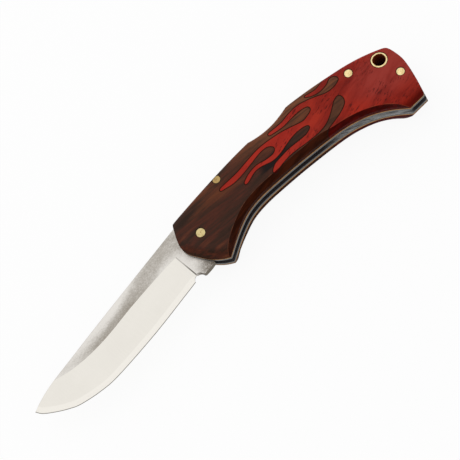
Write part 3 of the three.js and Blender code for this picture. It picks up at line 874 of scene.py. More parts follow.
@dataclass
class Skin:
    """Triangles with a normal at each corner, gathered until they become one mesh.

    Args:
        corners: The triangles' corners, one array for each call that adds some.
        normals: The normals at those corners.
        coats: The triangles' material indices.
    """

    corners: list[Array] = field(default_factory=list)
    normals: list[Array] = field(default_factory=list)
    coats: list[Array] = field(default_factory=list)

    def add(self, corners: Array, normals: Array, coat: int | Array = 0) -> None:
        """Adds triangles.

        Args:
            corners: Their corners, as n x 3 x 3 numbers.
            normals: The normal at each corner.
            coat: The material index of all of them, or of each.
        """
        self.corners.append(corners)
        self.normals.append(unit(normals))
        self.coats.append(np.broadcast_to(coat, len(corners)))

    def add_cap(self, plan: Array, faces: Array, height: Field, up: bool, coat: int | Array = 0) -> None:
        """Adds a surface that has one height over each point of a plan.

        The normals are taken a little inside each triangle, so that creases stay sharp.

        Args:
            plan: The plan's points.
            faces: Its triangles.
            height: The surface's height.
            up: Whether it faces up.
            coat: The material index of all triangles, or of each.
        """
        inset, small = 0.15, 0.004
        spots = plan[faces]
        probe = spots + (spots.mean(1, keepdims=True) - spots) * inset
        x, y = probe[..., 0], probe[..., 1]
        slope_x = (height(x + small, y) - height(x - small, y)) / (2 * small)
        slope_y = (height(x, y + small) - height(x, y - small)) / (2 * small)
        normals = np.stack([-slope_x, -slope_y, np.ones_like(x)], -1)
        corners = np.concatenate([spots, height(spots[..., 0], spots[..., 1])[..., None]], -1)
        if up:
            self.add(corners, normals, coat)
        else:
            self.add(corners[:, ::-1], -normals[:, ::-1], coat)

    def add_walls(self, plan: Array, faces: Array, low: Field, high: Field) -> None:
        """Adds upright walls round a set of triangles, shaded as one where they turn only a little.

        Args:
            plan: The plan's points.
            faces: Its triangles.
            low: The walls' lower edge.
            high: Their upper edge.
        """
        sides = np.vstack([faces[:, [0, 1]], faces[:, [1, 2]], faces[:, [2, 0]]])
        known = set(map(tuple, sides.tolist()))
        rim = np.array([side for side in sides.tolist() if (side[1], side[0]) not in known])
        start, end = plan[rim[:, 0]], plan[rim[:, 1]]
        way = unit(end - start)
        out = np.column_stack([way[:, 1], -way[:, 0]])
        ending = dict(zip(rim[:, 1].tolist(), range(len(rim))))
        starting = dict(zip(rim[:, 0].tolist(), range(len(rim))))
        before = out[[ending.get(a, k) for k, a in enumerate(rim[:, 0].tolist())]]
        after = out[[starting.get(b, k) for k, b in enumerate(rim[:, 1].tolist())]]
        little = 0.75
        soft_start = np.where((before * out).sum(1, keepdims=True) > little, before + out, out)
        soft_end = np.where((after * out).sum(1, keepdims=True) > little, after + out, out)
        corners = np.stack([
            np.column_stack([start, low(*start.T)]),
            np.column_stack([end, low(*end.T)]),
            np.column_stack([end, high(*end.T)]),
            np.column_stack([start, high(*start.T)]),
        ], 1)
        flat = np.stack([soft_start, soft_end, soft_end, soft_start], 1)
        normals = np.concatenate([flat, np.zeros((*flat.shape[:2], 1))], -1)
        for pick in ([0, 1, 2], [0, 2, 3]):
            self.add(corners[:, pick], normals[:, pick])

    def add_solid(
        self, plan: Array, faces: Array, low: Field, high: Field, coat: int | Array = 0
    ) -> "Skin":
        """Adds a closed body between two heights over a plan.

        Args:
            plan: The plan's points.
            faces: Its triangles.
            low: The body's lower surface.
            high: Its upper surface.
            coat: The material index of both surfaces, or of each triangle.

        Returns:
            This skin.
        """
        self.add_cap(plan, faces, high, True, coat)
        self.add_cap(plan, faces, low, False, coat)
        self.add_walls(plan, faces, low, high)
        return self

    def make(
        self, name: str, finishes: Sequence[bpy.types.Material], marks: dict[str, Field] | None = None
    ) -> bpy.types.Object:
        """Joins everything into one object.

        Args:
            name: The object's name.
            finishes: Its materials.
            marks: Values that each point carries for its material, as heights over the plan.

        Returns:
            The object, at its place in the part's frame.
        """
        grain = 1e-4
        corners = np.concatenate(self.corners).reshape(-1, 3)
        normals = np.concatenate(self.normals).reshape(-1, 3, 3)
        coats = np.concatenate(self.coats)
        keys = np.round(corners / grain).astype(np.int64)
        points, index = np.unique(keys, axis=0, return_inverse=True)
        faces = index.reshape(-1, 3)
        a, b, c = faces.T
        whole = (a != b) & (b != c) & (c != a)
        mesh = bpy.data.meshes.new(name)
        mesh.from_pydata((points * grain * MM).tolist(), [], faces[whole].tolist(), shade_flat=False)
        mesh.polygons.foreach_set("material_index", coats[whole].astype(np.int32))
        mesh.normals_split_custom_set(normals[whole].reshape(-1, 3).tolist())
        for finish in finishes:
            mesh.materials.append(finish)
        for mark, value in (marks or {}).items():
            layer = mesh.attributes.new(mark, "FLOAT", "POINT")
            found = value(points[:, 0] * grain, points[:, 1] * grain)
            layer.data.foreach_set("value", found.astype(np.float32))
        made = bpy.data.objects.new(name, mesh)
        bpy.context.scene.collection.objects.link(made)
        return made


def level(height: float) -> Field:
    """A flat surface at one height."""
    return lambda x, y: np.full(np.shape(x), float(height))


def measured_from(place: float, points: Points) -> list[list[float]]:
    """The same points, with their X measured from another place."""
    return [[place + x, y] for x, y in points]


BLADE_LENGTH = 89.9
BUTT_X = BLADE_LENGTH + 9.4


@dataclass
class HandleForm:
    """The handle's outline, its layers and the shape of its two faces.

    Args:
        scale_t: Thickness of the wood.
        shim_t: Thickness of the brass shims.
        liner_t: Thickness of the steel liners.
        channel: Width of the blade's channel.
        dip_start: Front end of the thumb dip.
        dip_end: Its rear end.
        dip_depth: Its depth.
        low_fall: How far the face falls toward the belly's crease.
        low_fall_width: How wide that fall is.
        spine_fall: How far the face falls toward the spine.
        spine_fall_width: How wide that fall is.
        spine_round: Radius of the rounding along the spine.
        front_crown: How far the face falls toward the front.
        front_crown_width: How long that fall is.
        rear_crown: How far the face falls toward the butt.
        rear_crown_width: How long that fall is.
        round_rim_t: Wood left where the front's lower edge and the foot are rounded over.
        round_width: How wide that rounding is.
        round_full: Height below which the front is fully rounded.
        round_none: Height above which it isn't rounded.
        ease: Radius of the eased front and butt edges.
        least_bevel: The belly bevel's least width.
        front_zone: Where the front edge's shape ends.
        rear_zone: How far ahead of the butt its shape starts.
        line_step: Distance between the points of the outline.
    """

    scale_t: float = 4.5
    shim_t: float = 0.5
    liner_t: float = 1.0
    channel: float = 2.9
    dip_start: float = 34.8
    dip_end: float = 54.2
    dip_depth: float = 1.55
    low_fall: float = 0.17
    low_fall_width: float = 4.0
    spine_fall: float = 0.58
    spine_fall_width: float = 5.5
    spine_round: float = 2.2
    front_crown: float = 0.49
    front_crown_width: float = 7.2
    rear_crown: float = 1.24
    rear_crown_width: float = 18.3
    round_rim_t: float = 0.6
    round_width: float = 4.0
    round_full: float = -3.0
    round_none: float = 5.0
    ease: float = 0.35
    least_bevel: float = 0.02
    front_zone: float = 16.0
    rear_zone: float = 20.0
    line_step: float = 0.7

    def __post_init__(self) -> None:
        """Works out the lines and the layers' heights."""
        rear = measured_from
        self.spine = Profile([
            [-14, 9.1], [-6.9, 10.9], [6.1, 13.5], [18.1, 15.6], [30, 17.3], [45, 18.7], [57, 19.45],
            *rear(BUTT_X, [[-21.5, 17.75], [-9.5, 15.5], [4.7, 11]]),
        ])
        self.belly = Profile([
            [-14, -25.9], [3.1, -13.7], [11.4, -7.8], [18.8, -3.9], [26.3, -2.2], [37.5, -1.5],
            [48.7, -1.3],
            *rear(BUTT_X, [[-35.7, -1.7], [-28.2, -2.8], [-20.7, -5.3], [-13.2, -9.8], [4.7, -24.6]]),
        ])
        self.bevel = Profile([
            [-14, 0.05], [1.5, 0.1], [3.6, 0.9], [7.6, 1.6], [14, 1.75], [30, 1.85],
            *rear(BUTT_X, [
                [-49.3, 2.2], [-42.3, 2.15], [-35.3, 1.3], [-28.3, 1.25], [-17.3, 1.1], [-12.3, 0.4],
                [-9.3, 0.05], [4.7, 0.05],
            ]),
        ])
        self.belly_rim = Profile([[-14, 0.6], [3, 0.6], [15, 1.9], [BUTT_X + 4.7, 1.9]])
        front = [
            [-5.6, 13.2], [-6.4, 10.6], [-7.7, 6.9], [-8.75, 3.9], [-9.4, 1.3], [-8.9, -1.2],
            [-7.1, -4.2], [-4.3, -8], [-2.1, -10.3], [0.2, -12.1], [3.1, -13.7], [7.5, -15.8],
        ]
        butt = rear(BUTT_X, [
            [-6.8, 16.6], [-3.9, 14.1], [-2, 12.3], [-0.8, 9.2], [0, 5], [0, 2],
            [-0.4, -1.7], [-1.2, -6.5], [-2, -10.2], [-2.3, -11.2], [-3, -11.75],
        ])
        corner = [BUTT_X - 13.8, -12.85]
        self.foot = np.array([corner, butt[-1]])
        self.front = smooth(front, self.line_step)
        self.butt = np.vstack([smooth(butt, self.line_step), [corner]])
        self.front_x = min(x for x, _ in front)
        self.z_far_scale = self.scale_t
        self.z_far_shim = self.z_far_scale + self.shim_t
        self.z_far_liner = self.z_far_shim + self.liner_t
        self.z_near_liner = self.z_far_liner + self.channel
        self.z_near_shim = self.z_near_liner + self.liner_t
        self.z_near_scale = self.z_near_shim + self.shim_t
        self.z_top = self.z_near_scale + self.scale_t
        self.z_mid = self.z_top / 2

    def outline_spine(self, x: Array) -> Array:
        """The spine's height, with the thumb dip.

        Args:
            x: Places along the handle.

        Returns:
            The height at each place.
        """
        share = (x - self.dip_start) / (self.dip_end - self.dip_start)
        dip = 4 * self.dip_depth * share * (1 - share)
        return self.spine(x) - np.where((share > 0) & (share < 1), dip, 0)

    def _bevel_width(self, x: Array) -> Array:
        """The belly bevel's width, never quite nothing."""
        return np.maximum(self.bevel(x), self.least_bevel)

    def crease(self, x: Array) -> Array:
        """Where the belly bevel meets the face."""
        return self.belly(x) + self._bevel_width(x)

    def near_face(self, x: Array, y: Array) -> Array:
        """The near face's height.

        Args:
            x: Places along the handle.
            y: Places from the belly to the spine.

        Returns:
            The height over each place.
        """
        front = np.maximum(self.front_x + self.front_crown_width - x, 0) / self.front_crown_width
        rear = np.maximum(x - (BUTT_X - self.rear_crown_width), 0) / self.rear_crown_width
        height = self.z_top - self.front_crown * front**2 - self.rear_crown * rear**2
        over = y - self.crease(x)
        low = np.clip(1 - over / self.low_fall_width, 0, 1)
        height -= self.low_fall * low**2
        deep = self.outline_spine(x) - y
        fall = np.clip(1 - deep / self.spine_fall_width, 0, 1)
        turn = np.clip(1 - deep / self.spine_round, 0, 1)
        height -= self.spine_fall * fall**2 + self.spine_round * (1 - np.sqrt(1 - turn**2))
        height -= self.rounding(x, y) * np.maximum(height - self.z_near_scale - self.round_rim_t, 0)
        ground = np.clip(-over / self._bevel_width(x), 0, 1)
        height -= ground * np.maximum(height - self.z_near_scale - self.belly_rim(x), 0)
        return height - self._eased(x, y)

    def rounding(self, x: Array, y: Array) -> Array:
        """How far the faces are rounded over at the front's lower edge and the foot.

        Args:
            x: Places along the handle.
            y: Places from the belly to the spine.

        Returns:
            From 0, not at all, to 1, down to the rim.
        """
        fade = np.clip((self.round_none - y) / (self.round_none - self.round_full), 0, 1)
        share = np.zeros(np.shape(x))
        for line, close in self._zones(x, self.foot):
            near = np.clip(1 - gap(x[close], y[close], line) / self.round_width, 0, 1)
            share[close] = near**2
        return share * np.where(x < self.front_zone, soft(fade), 1.0)

    def _eased(self, x: Array, y: Array) -> Array:
        """How far the front and butt edges are rounded over.

        Args:
            x: Places along the handle.
            y: Places from the belly to the spine.

        Returns:
            The drop at each place.
        """
        drop = np.zeros(np.shape(x))
        for line, close in self._zones(x, self.butt):
            share = np.clip(1 - gap(x[close], y[close], line) / self.ease, 0, 1)
            drop[close] = self.ease * (1 - np.sqrt(1 - share**2))
        return drop

    def _zones(self, x: Array, rear: Array) -> list[tuple[Array, Array]]:
        """The front's line and a rear one, each with the places that are near enough to count."""
        return [(self.front, x < self.front_zone), (rear, x > BUTT_X - self.rear_zone)]

    def far_face(self, x: Array, y: Array) -> Array:
        """The far face's height, a mirror of the near one."""
        return self.z_top - self.near_face(x, y)

    def holds(self, x: Array, y: Array) -> Array:
        """Whether points lie in the handle's outline.

        Args:
            x: Places along the handle.
            y: Places from the belly to the spine.

        Returns:
            True for each point that does.
        """
        above, below = [[0, 60], [BUTT_X - 6.8, 60]], [[BUTT_X - 60, -60]]
        ends = np.vstack([self.front[::-1], above, self.butt, below])
        between = (y > self.belly(x)) & (y < self.outline_spine(x))
        return between & inside(ends, x, y)

    def outline_lines(self) -> list[Array]:
        """The lines that bound the handle.

        Returns:
            The lines, which run a little past each other.
        """
        foot = np.vstack([self.butt[-1:], [[BUTT_X - 30, -29]]])
        x = self._columns()
        belly = np.column_stack([x, self.belly(x)])
        return [self.front, self.butt, spaced(foot, 2.0), belly, self._spine_line(0.0)]

    def shape_lines(self) -> list[Array]:
        """The lines along which the faces bend.

        Returns:
            The lines, closer together where the bend is sharper.
        """
        x = self._columns()
        lines = [np.column_stack([x, self.crease(x) + over]) for over in (0.0, 0.25, self.low_fall_width)]
        for angle in (0, 18, 36, 52, 66, 78):
            lines.append(self._spine_line(self.spine_round * (1 - math.sin(math.radians(angle)))))
        lines.append(self._spine_line(self.spine_fall_width))
        for angle in (0, 30, 60):
            inward = self.ease * (1 - math.sin(math.radians(angle)))
            lines.append(beside(self.front, inward))
            lines.append(beside(self.butt, -inward))
        for inward in (0.8, 1.4, 2.1, 3.0, 4.0):
            lines.append(beside(self.front, inward))
            lines.append(beside(self.foot, inward))
        return lines

    def _columns(self) -> Array:
        """Places along X, with the dip's two ends among them."""
        even = np.arange(-14, BUTT_X + 4, self.line_step)
        return np.unique(np.concatenate([even, [self.dip_start, self.dip_end]]))

    def _spine_line(self, deep: float) -> Array:
        """A line that runs below the spine at one depth."""
        x = self._columns()
        return np.column_stack([x, self.outline_spine(x) - deep])


@dataclass
class CrossPin:
    """A brass pin or tube through the whole handle.

    Args:
        name: The CAD node that it replaces.
        x: Its place along the handle.
        y: Its place from belly to spine.
        radius: Its radius.
        bore: Radius of the hole through it, or 0.
        polish: How bright its brass is.
        ring_steps: How many straight pieces a ring about it has.
    """

    name: str
    x: float
    y: float
    radius: float
    bore: float = 0.0
    polish: Polish = Polish.BRIGHT
    ring_steps: int = 56

    def ring(self, radius: float) -> Array:
        """A closed ring of points about the pin's axis."""
        return arc((self.x, self.y), radius, 0, 360, self.ring_steps)


@dataclass
class CrossPins:
    """The four pins and the lanyard tube, with the holes that they sit in.

    Args:
        form: The handle's form.
        hole_room: Gap round a pin in its hole.
        hole_share: How much of that gap is sure to be clear.
        chamfer: Width of the chamfers.
        rim_slope: Depth of a pin's chamfer, as a share of its width.
        bore_slope: The same for the tube's inner chamfer.
        dome: Height of a pin's dome.
        hub: Radius of the ring at a pin's middle.
        pins: The pins and the tube.
    """

    form: HandleForm
    hole_room: float = 0.07
    hole_share: float = 0.9
    chamfer: float = 0.14
    rim_slope: float = 0.7
    bore_slope: float = 1.2
    dome: float = 0.03
    hub: float = 0.02
    pins: list[CrossPin] = field(default_factory=lambda: [
        CrossPin("pivot_pin", 0.0, 0.0, 1.825, polish=Polish.RUBBED),
        CrossPin("rocker_pin", 17.0, 13.2, 1.5875, polish=Polish.DULL),
        CrossPin("spacer_pin", BUTT_X - 19, 12.9, 1.6),
        CrossPin("butt_pin", BUTT_X - 3.8, 0.2, 1.6),
        CrossPin("lanyard_tube", BUTT_X - 7, 9.4, 3.175, 2.455),
    ])

    def hole_lines(self, beyond: float = 0.0) -> list[Array]:
        """The rims of the holes, or rings a little beyond them."""
        return [pin.ring(pin.radius + self.hole_room + beyond) for pin in self.pins]

    def _beyond(self, x: Array, y: Array) -> Array:
        """How far points lie outside each pin."""
        return np.array([np.hypot(x - pin.x, y - pin.y) - pin.radius for pin in self.pins])

    def plate(self, x: Array, y: Array) -> Array:
        """Whether points lie in the handle's outline and outside every hole."""
        clear = np.min(self._beyond(x, y), axis=0) > self.hole_room * self.hole_share
        return self.form.holds(x, y) & clear

    def nearness(self, x: Array, y: Array) -> Array:
        """How far points lie from the nearest hole's rim."""
        return np.min(np.abs(self._beyond(x, y)), axis=0)

    def build(self, brasses: dict[Polish, bpy.types.Material]) -> list[bpy.types.Object]:
        """Makes every pin in its own brass, each in place of its CAD node."""
        return [self._build_pin(pin, brasses[pin.polish]) for pin in self.pins]

    def _build_pin(self, pin: CrossPin, brass: bpy.types.Material) -> bpy.types.Object:
        """Makes one pin, ground flush with both faces.

        Args:
            pin: The pin.
            brass: Its material.

        Returns:
            The pin's object.
        """
        outer = pin.radius - self.chamfer
        if pin.bore:
            radii = [pin.bore, *np.linspace(pin.bore + self.chamfer, outer, 6), pin.radius]
        else:
            radii = [self.hub, *np.linspace(0.0, outer, 9)[1:], pin.radius]
        plan, faces = Tiling([pin.ring(radius) for radius in radii]).cut()
        away = lambda x, y: np.hypot(x - pin.x, y - pin.y)
        faces = kept(plan, faces, lambda x, y: (away(x, y) < pin.radius) & (away(x, y) > pin.bore))
        low, high = (partial(self._end, pin, near) for near in (False, True))
        marks = {"tarnish": lambda x, y: away(x, y) < pin.bore + self.chamfer}
        made = Skin().add_solid(plan, faces, low, high).make(pin.name + "_brass", [brass], marks)
        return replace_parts(made, pin.name)

    def _end(self, pin: CrossPin, near: bool, x: Array, y: Array) -> Array:
        """The height of a pin's end: the handle's face, a slight dome and a chamfer.

        Args:
            pin: The pin.
            near: Whether it is the near end.
            x: Places along the handle.
            y: Places from the belly to the spine.

        Returns:
            The height over each place.
        """
        away = np.hypot(x - pin.x, y - pin.y)
        cut = np.maximum(away - (pin.radius - self.chamfer), 0) * self.rim_slope
        if pin.bore:
            cut = cut + np.maximum(pin.bore + self.chamfer - away, 0) * self.bore_slope
        dome = 0.0 if pin.bore else self.dome * (1 - (away / pin.radius) ** 2)
        face = self.form.near_face(x, y)
        face = face + np.minimum(dome, self.form.z_top - face) - cut
        return face if near else self.form.z_top - face


@dataclass
class Scales:
    """The handle's four wooden scales and the dark glue lines between them.

    Args:
        form: The handle's form.
        pins: The pins through it.
        kerf: Width of the joint between the woods.
        line_step: Distance between the joint's points.
        fill: Distance between the points that fill the faces.
        tip_cut: How far the flame's points are cut back.
        glue_sink: How far the glue lies below the wood.
        shade_width: Distance from the joint and the holes to the lines that carry their shading.
    """

    form: HandleForm
    pins: CrossPins
    kerf: float = 0.3
    line_step: float = 0.45
    fill: float = 0.95
    tip_cut: float = 0.35
    glue_sink: float = 0.04
    shade_width: float = 0.3

    def flame_line(self) -> Array:
        """The line between the two woods, from the spine to the belly, with five blunted points.

        Returns:
            The line's points, evenly spaced.
        """
        parts = [
            [
                [78, 19.7], [74, 19], [71.2, 18], [69.2, 17], [66.8, 16.4], [64.2, 16.8], [61.9, 17.2],
            ],
            [
                [61.9, 17.2], [62.1, 16.4], [63, 15.7], [64.3, 15], [67.6, 14.3], [71.2, 14.9],
                [73.8, 16.3], [75.9, 15.3], [76, 13.5], [73, 12.3], [69.3, 12.4], [65.6, 13.8],
                [61.8, 15.1], [57.7, 15.9], [53.2, 15.5], [49.4, 14.6], [45, 14.5], [43.1, 14.5],
                [42.1, 13.8],
            ],
            [
                [42.1, 13.8], [42.8, 13.2], [44.2, 12.9], [48.7, 12.5], [53.6, 13.1], [58, 13.3],
                [60.7, 12.5], [60.5, 10.8], [57.5, 9.6], [55.4, 9.4], [51, 10.5], [46.5, 11.5],
                [40.5, 12.1], [35.6, 12], [30, 11], [24.4, 9.9], [18.4, 9.4], [16, 9.1], [15, 8.5],
            ],
            [
                [15, 8.5], [15.8, 7.8], [17.3, 7.6], [21.1, 7.1], [26, 7.7], [31.2, 9], [35.7, 10.1],
                [39.3, 10.1], [41.2, 8.3], [39.7, 6.6], [36, 6.5], [31.9, 7.2], [27.6, 6.4], [24.6, 4.9],
                [23.9, 4.2],
            ],
            [
                [23.9, 4.2], [24.4, 3.5], [26, 3.7], [29.1, 5], [31.2, 5.4], [33.4, 5.2], [37.5, 4.2],
                [41.6, 4.6], [48.4, 6.7], [52.8, 7.2], [56, 6.6], [56, 5.2], [52.8, 4.1], [45.3, 4],
                [40.1, 3.3], [37.8, 2.8], [36.1, 1.8], [34.9, 0.7],
            ],
            [
                [34.9, 0.7], [35.3, -0.3], [36.6, -0.2], [40.2, 0.8], [45.3, 1.5], [52.4, 1.2],
                [58.4, 1.4], [62.6, 2.6], [66.4, 5.1], [69.3, 7.5], [71.8, 8.3], [72.9, 6.6],
                [71.9, 4.1], [68.4, 2.1], [64, 0.8], [60.8, -0.1], [59.4, -1.2], [58.9, -3.5],
            ],
        ]
        runs = []
        for number, part in enumerate(parts):
            run = smooth(part, self.line_step / 3)
            if number > 0:
                run = run[np.linalg.norm(run - part[0], axis=1) > self.tip_cut]
            if number < len(parts) - 1:
                run = run[np.linalg.norm(run - part[-1], axis=1) > self.tip_cut]
            runs.append(run)
        return spaced(np.vstack(runs), self.line_step)

    def build(
        self, rosewood: bpy.types.Material, red_wood: bpy.types.Material, glue: bpy.types.Material
    ) -> list[bpy.types.Object]:
        """Makes the scales of both faces.

        Args:
            rosewood: The dark wood's material.
            red_wood: The red wood's material.
            glue: The material of the joint between them.

        Returns:
            Six objects, three for each face.
        """
        form, pins = self.form, self.pins
        line = self.flame_line()
        red_edge, dark_edge = beside(line, self.kerf / 2), beside(line, -self.kerf / 2)
        shade = [beside(line, side * (self.kerf / 2 + self.shade_width)) for side in (1, -1)]
        lines = [
            *form.outline_lines(), *form.shape_lines(), *pins.hole_lines(),
            *pins.hole_lines(self.shade_width), red_edge, dark_edge, *shade,
        ]
        plan, faces = Tiling(lines, self.fill).cut(pins.plate)
        faces = kept(plan, faces, pins.plate)
        x, y = plan[faces].mean(1).T
        behind = [[97, -60], [119, -60], [119, 60], [80, 60]]
        ahead = [[55.2, -60], [-40, -60], [-40, 60], [79, 60]]
        is_red = inside(np.vstack([red_edge, behind]), x, y)
        is_dark = inside(np.vstack([dark_edge, ahead]), x, y) & ~is_red
        shares = {
            "front_scale": (is_dark, rosewood, 0.0),
            "flame_scale": (is_red, red_wood, 0.0),
            "glue_line": (~is_dark & ~is_red, glue, self.glue_sink),
        }
        marks = {
            "over_crease": lambda x, y: y - form.crease(x),
            "rounding": form.rounding,
            "to_joint": lambda x, y: gap(x, y, line),
            "to_pin": pins.nearness,
        }
        made = []
        for side in Side:
            for name, (chosen, finish, sink) in shares.items():
                if side is Side.NEAR:
                    low = level(form.z_near_scale)
                    high = lambda x, y, sink=sink: form.near_face(x, y) - sink
                else:
                    low = lambda x, y, sink=sink: form.far_face(x, y) + sink
                    high = level(form.z_far_scale)
                skin = Skin().add_solid(plan, faces[chosen], low, high)
                title = f"{side.value}_{name}"
                piece = skin.make(title + ("" if name == "glue_line" else "_wood"), [finish], marks)
                if name != "glue_line":
                    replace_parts(piece, title)
                made.append(piece)
        return made


@dataclass
class Liners:
    """The steel liners and the thin brass shims between them and the wood.

    Args:
        form: The handle's form.
        pins: The pins through it.
    """

    form: HandleForm
    pins: CrossPins

    def build(self, steel: bpy.types.Material, brass: bpy.types.Material) -> list[bpy.types.Object]:
        """Makes the four plates.

        Args:
            steel: The liners' material.
            brass: The shims' material.

        Returns:
            The plates.
        """
        form = self.form
        plan, faces = Tiling([*form.outline_lines(), *self.pins.hole_lines()]).cut()
        faces = kept(plan, faces, self.pins.plate)
        plates = (
            ("far_brass_shim", form.z_far_scale, form.z_far_shim, brass),
            ("far_liner", form.z_far_shim, form.z_far_liner, steel),
            ("near_liner", form.z_near_liner, form.z_near_shim, steel),
            ("near_brass_shim", form.z_near_shim, form.z_near_scale, brass),
        )
        made = []
        for node, low, high, finish in plates:
            skin = Skin().add_solid(plan, faces, level(low), level(high))
            made.append(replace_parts(skin.make(node + "_plate", [finish]), node))
        return made


@dataclass
class Blade:
    """The drop-point blade and its tang, in one piece, with two flat bevels.

    Args:
        form: The handle's form.
        thickness: Thickness of the blade.
        edge_t: Thickness at the very edge.
        apex_t: Thickness where the honed edge meets the bevel.
        apex_width: Width of the honed edge.
        plunge_width: Width of the step where the bevel starts.
        back_ease: Width of the eased edges of the back.
        back_slope: Depth of those, as a share of their width.
        tang_r: Radius of the tang.
        notch_depth: Depth of the lock's notch in it.
        tooth_angle: Where the notch ends, in degrees about the pivot.
        notch_past: How many degrees it is cut past that, toward the tang's round.
        hook_gap: Gap between the stop face and the lock bar's hook.
        hook_foot: The hook's lower corner.
        closed_hook: Where the hook meets the closed tang, behind the pivot.
        closing_angle: How far the blade turns.
        rocker: The lock bar's pin.
        choil: Centre of the choil.
        choil_r: Its radius.
        pivot_hole_r: Radius of the hole for the pivot pin.
        line_step: Distance between the points of the edge and the grind line.
        back_step: Distance between those of the back.
        plunge_step: Distance between those of the plunge line.
        fill: Distance between the points that fill the faces.
    """

    form: HandleForm
    thickness: float = 2.4
    edge_t: float = 0.06
    apex_t: float = 0.4
    apex_width: float = 0.7
    plunge_width: float = 0.4
    back_ease: float = 0.22
    back_slope: float = 0.8
    tang_r: float = 5.5
    notch_depth: float = 0.8
    tooth_angle: float = 62.0
    notch_past: float = 4.0
    hook_gap: float = 0.12
    hook_foot: tuple[float, float] = (-1.2, 5.55)
    closed_hook: float = 3.3
    closing_angle: float = 172.0
    rocker: tuple[float, float] = (17.0, 13.2)
    choil: tuple[float, float] = (-10.85, -11.4)
    choil_r: float = 2.2
    pivot_hole_r: float = 1.9
    line_step: float = 0.8
    back_step: float = 0.9
    plunge_step: float = 0.6
    fill: float = 1.0

    def __post_init__(self) -> None:
        """Works out the blade's lines."""
        tip = -BLADE_LENGTH
        self.back = smooth([
            [-7.5, 11.35], [-36.5, 4.2],
            *measured_from(tip, [[35.5, -0.3], [24.3, -3.25], [10.9, -6.8], [4.4, -9.1], [0, -11.2]]),
        ], self.back_step)
        self.edge = smooth([
            *measured_from(tip, [
                [0, -11.2], [1.9, -13.65], [6.4, -16.6], [10.9, -18.9], [15.4, -20.5], [24.3, -21.5],
                [33.3, -21.06],
            ]),
            [-36.5, -17.2], [-18.5, -12.67], [-13.1, -11.25],
        ], self.line_step)
        self.grind = smooth([
            [-12.9, 1.5], [-22.3, 0.1],
            *measured_from(tip, [
                [52.7, -2.8], [41.5, -5.5], [34, -6.9], [26.6, -7.6], [19.8, -7.5], [13.1, -6.4],
                [5.9, -4.4], [-2.1, -1],
            ]),
        ], self.line_step)
        self.plunge = spaced(np.array([[-12.9, 1.5], [-10.5, -11.0]]), self.plunge_step)
        self.kick = np.array([
            [-8.6, -11.05], [-8.1, -11.3], [-6.5, -11.05], [-4.65, -10.65], [-2.8, -10.05], [-2.3, -9.2],
        ])
        self.outline = self._outline()
        past_tip, past_edge, past_plunge = [[-98, -12]], beside(self.edge, -3.0), [[-10.5, -14.0]]
        self.ground = np.vstack([self.grind, past_tip, past_edge, past_plunge, self.plunge[::-1]])

    def _angle(self, point: Sequence[float], center: Sequence[float]) -> float:
        """The angle of a point about a centre, in degrees."""
        return math.degrees(math.atan2(point[1] - center[1], point[0] - center[0]))

    def _rocker_angle(self, radius: float, height: float) -> float:
        """Where an arc about the rocker pin meets a height, on its front side."""
        return 180 - math.degrees(math.asin((height - self.rocker[1]) / radius))

    def _outline(self) -> Array:
        """The blade's closed outline.

        Returns:
            Its points, from the stop face round the tang, the edge and the back.
        """
        pivot = (0.0, 0.0)
        stop = math.dist(self.hook_foot, self.rocker) + self.hook_gap
        spine = float(self.form.spine(np.array(self.rocker[0] - stop)))
        top, foot = self._rocker_angle(stop, spine), self._rocker_angle(stop, self.hook_foot[1])
        face = arc(self.rocker, stop, top, foot, steps=14)
        notch_from = self._angle(face[-1], pivot)
        notch_r, notch_to = self.tang_r - self.notch_depth, self.tooth_angle + self.notch_past
        notch = arc(pivot, notch_r, notch_from, notch_to, steps=10)
        wall = (self.closed_hook, math.sqrt(self.tang_r**2 - self.closed_hook**2))
        wall_from = self._angle(wall, pivot) - self.closing_angle
        round_end = arc(pivot, self.tang_r, self.tooth_angle, wall_from, steps=60)
        choil_from, choil_to = (self._angle(end, self.choil) for end in (self.kick[0], self.edge[-1]))
        choil = arc(self.choil, self.choil_r, choil_from, choil_to, steps=22)[1:-1]
        edge, back = self.edge[::-1], self.back[::-1][1:]
        return np.vstack([face, notch, round_end, self.kick[::-1], choil, edge, back, face[:1]])

    def half(self, x: Array, y: Array) -> Array:
        """Half the blade's thickness.

        Args:
            x: Places along the blade.
            y: Places from its edge to its back.

        Returns:
            Half the thickness at each place.
        """
        flat = self.thickness / 2
        to_edge, to_grind = gap(x, y, self.edge), gap(x, y, self.grind)
        past = np.maximum(to_edge - self.apex_width, 0)
        share = past / np.maximum(past + to_grind, 1e-6)
        slope = self.apex_t / 2 + (flat - self.apex_t / 2) * share
        honed = np.clip(to_edge / self.apex_width, 0, 1)
        bevel = np.where(past > 0, slope, self.edge_t / 2 + (self.apex_t - self.edge_t) / 2 * honed)
        run = soft(np.clip(gap(x, y, self.plunge) / self.plunge_width, 0, 1))
        thick = np.where(inside(self.ground, x, y), flat + (bevel - flat) * run, flat)
        eased = np.maximum(self.back_ease - gap(x, y, self.back), 0) * self.back_slope
        return np.maximum(thick - eased, self.edge_t / 2)

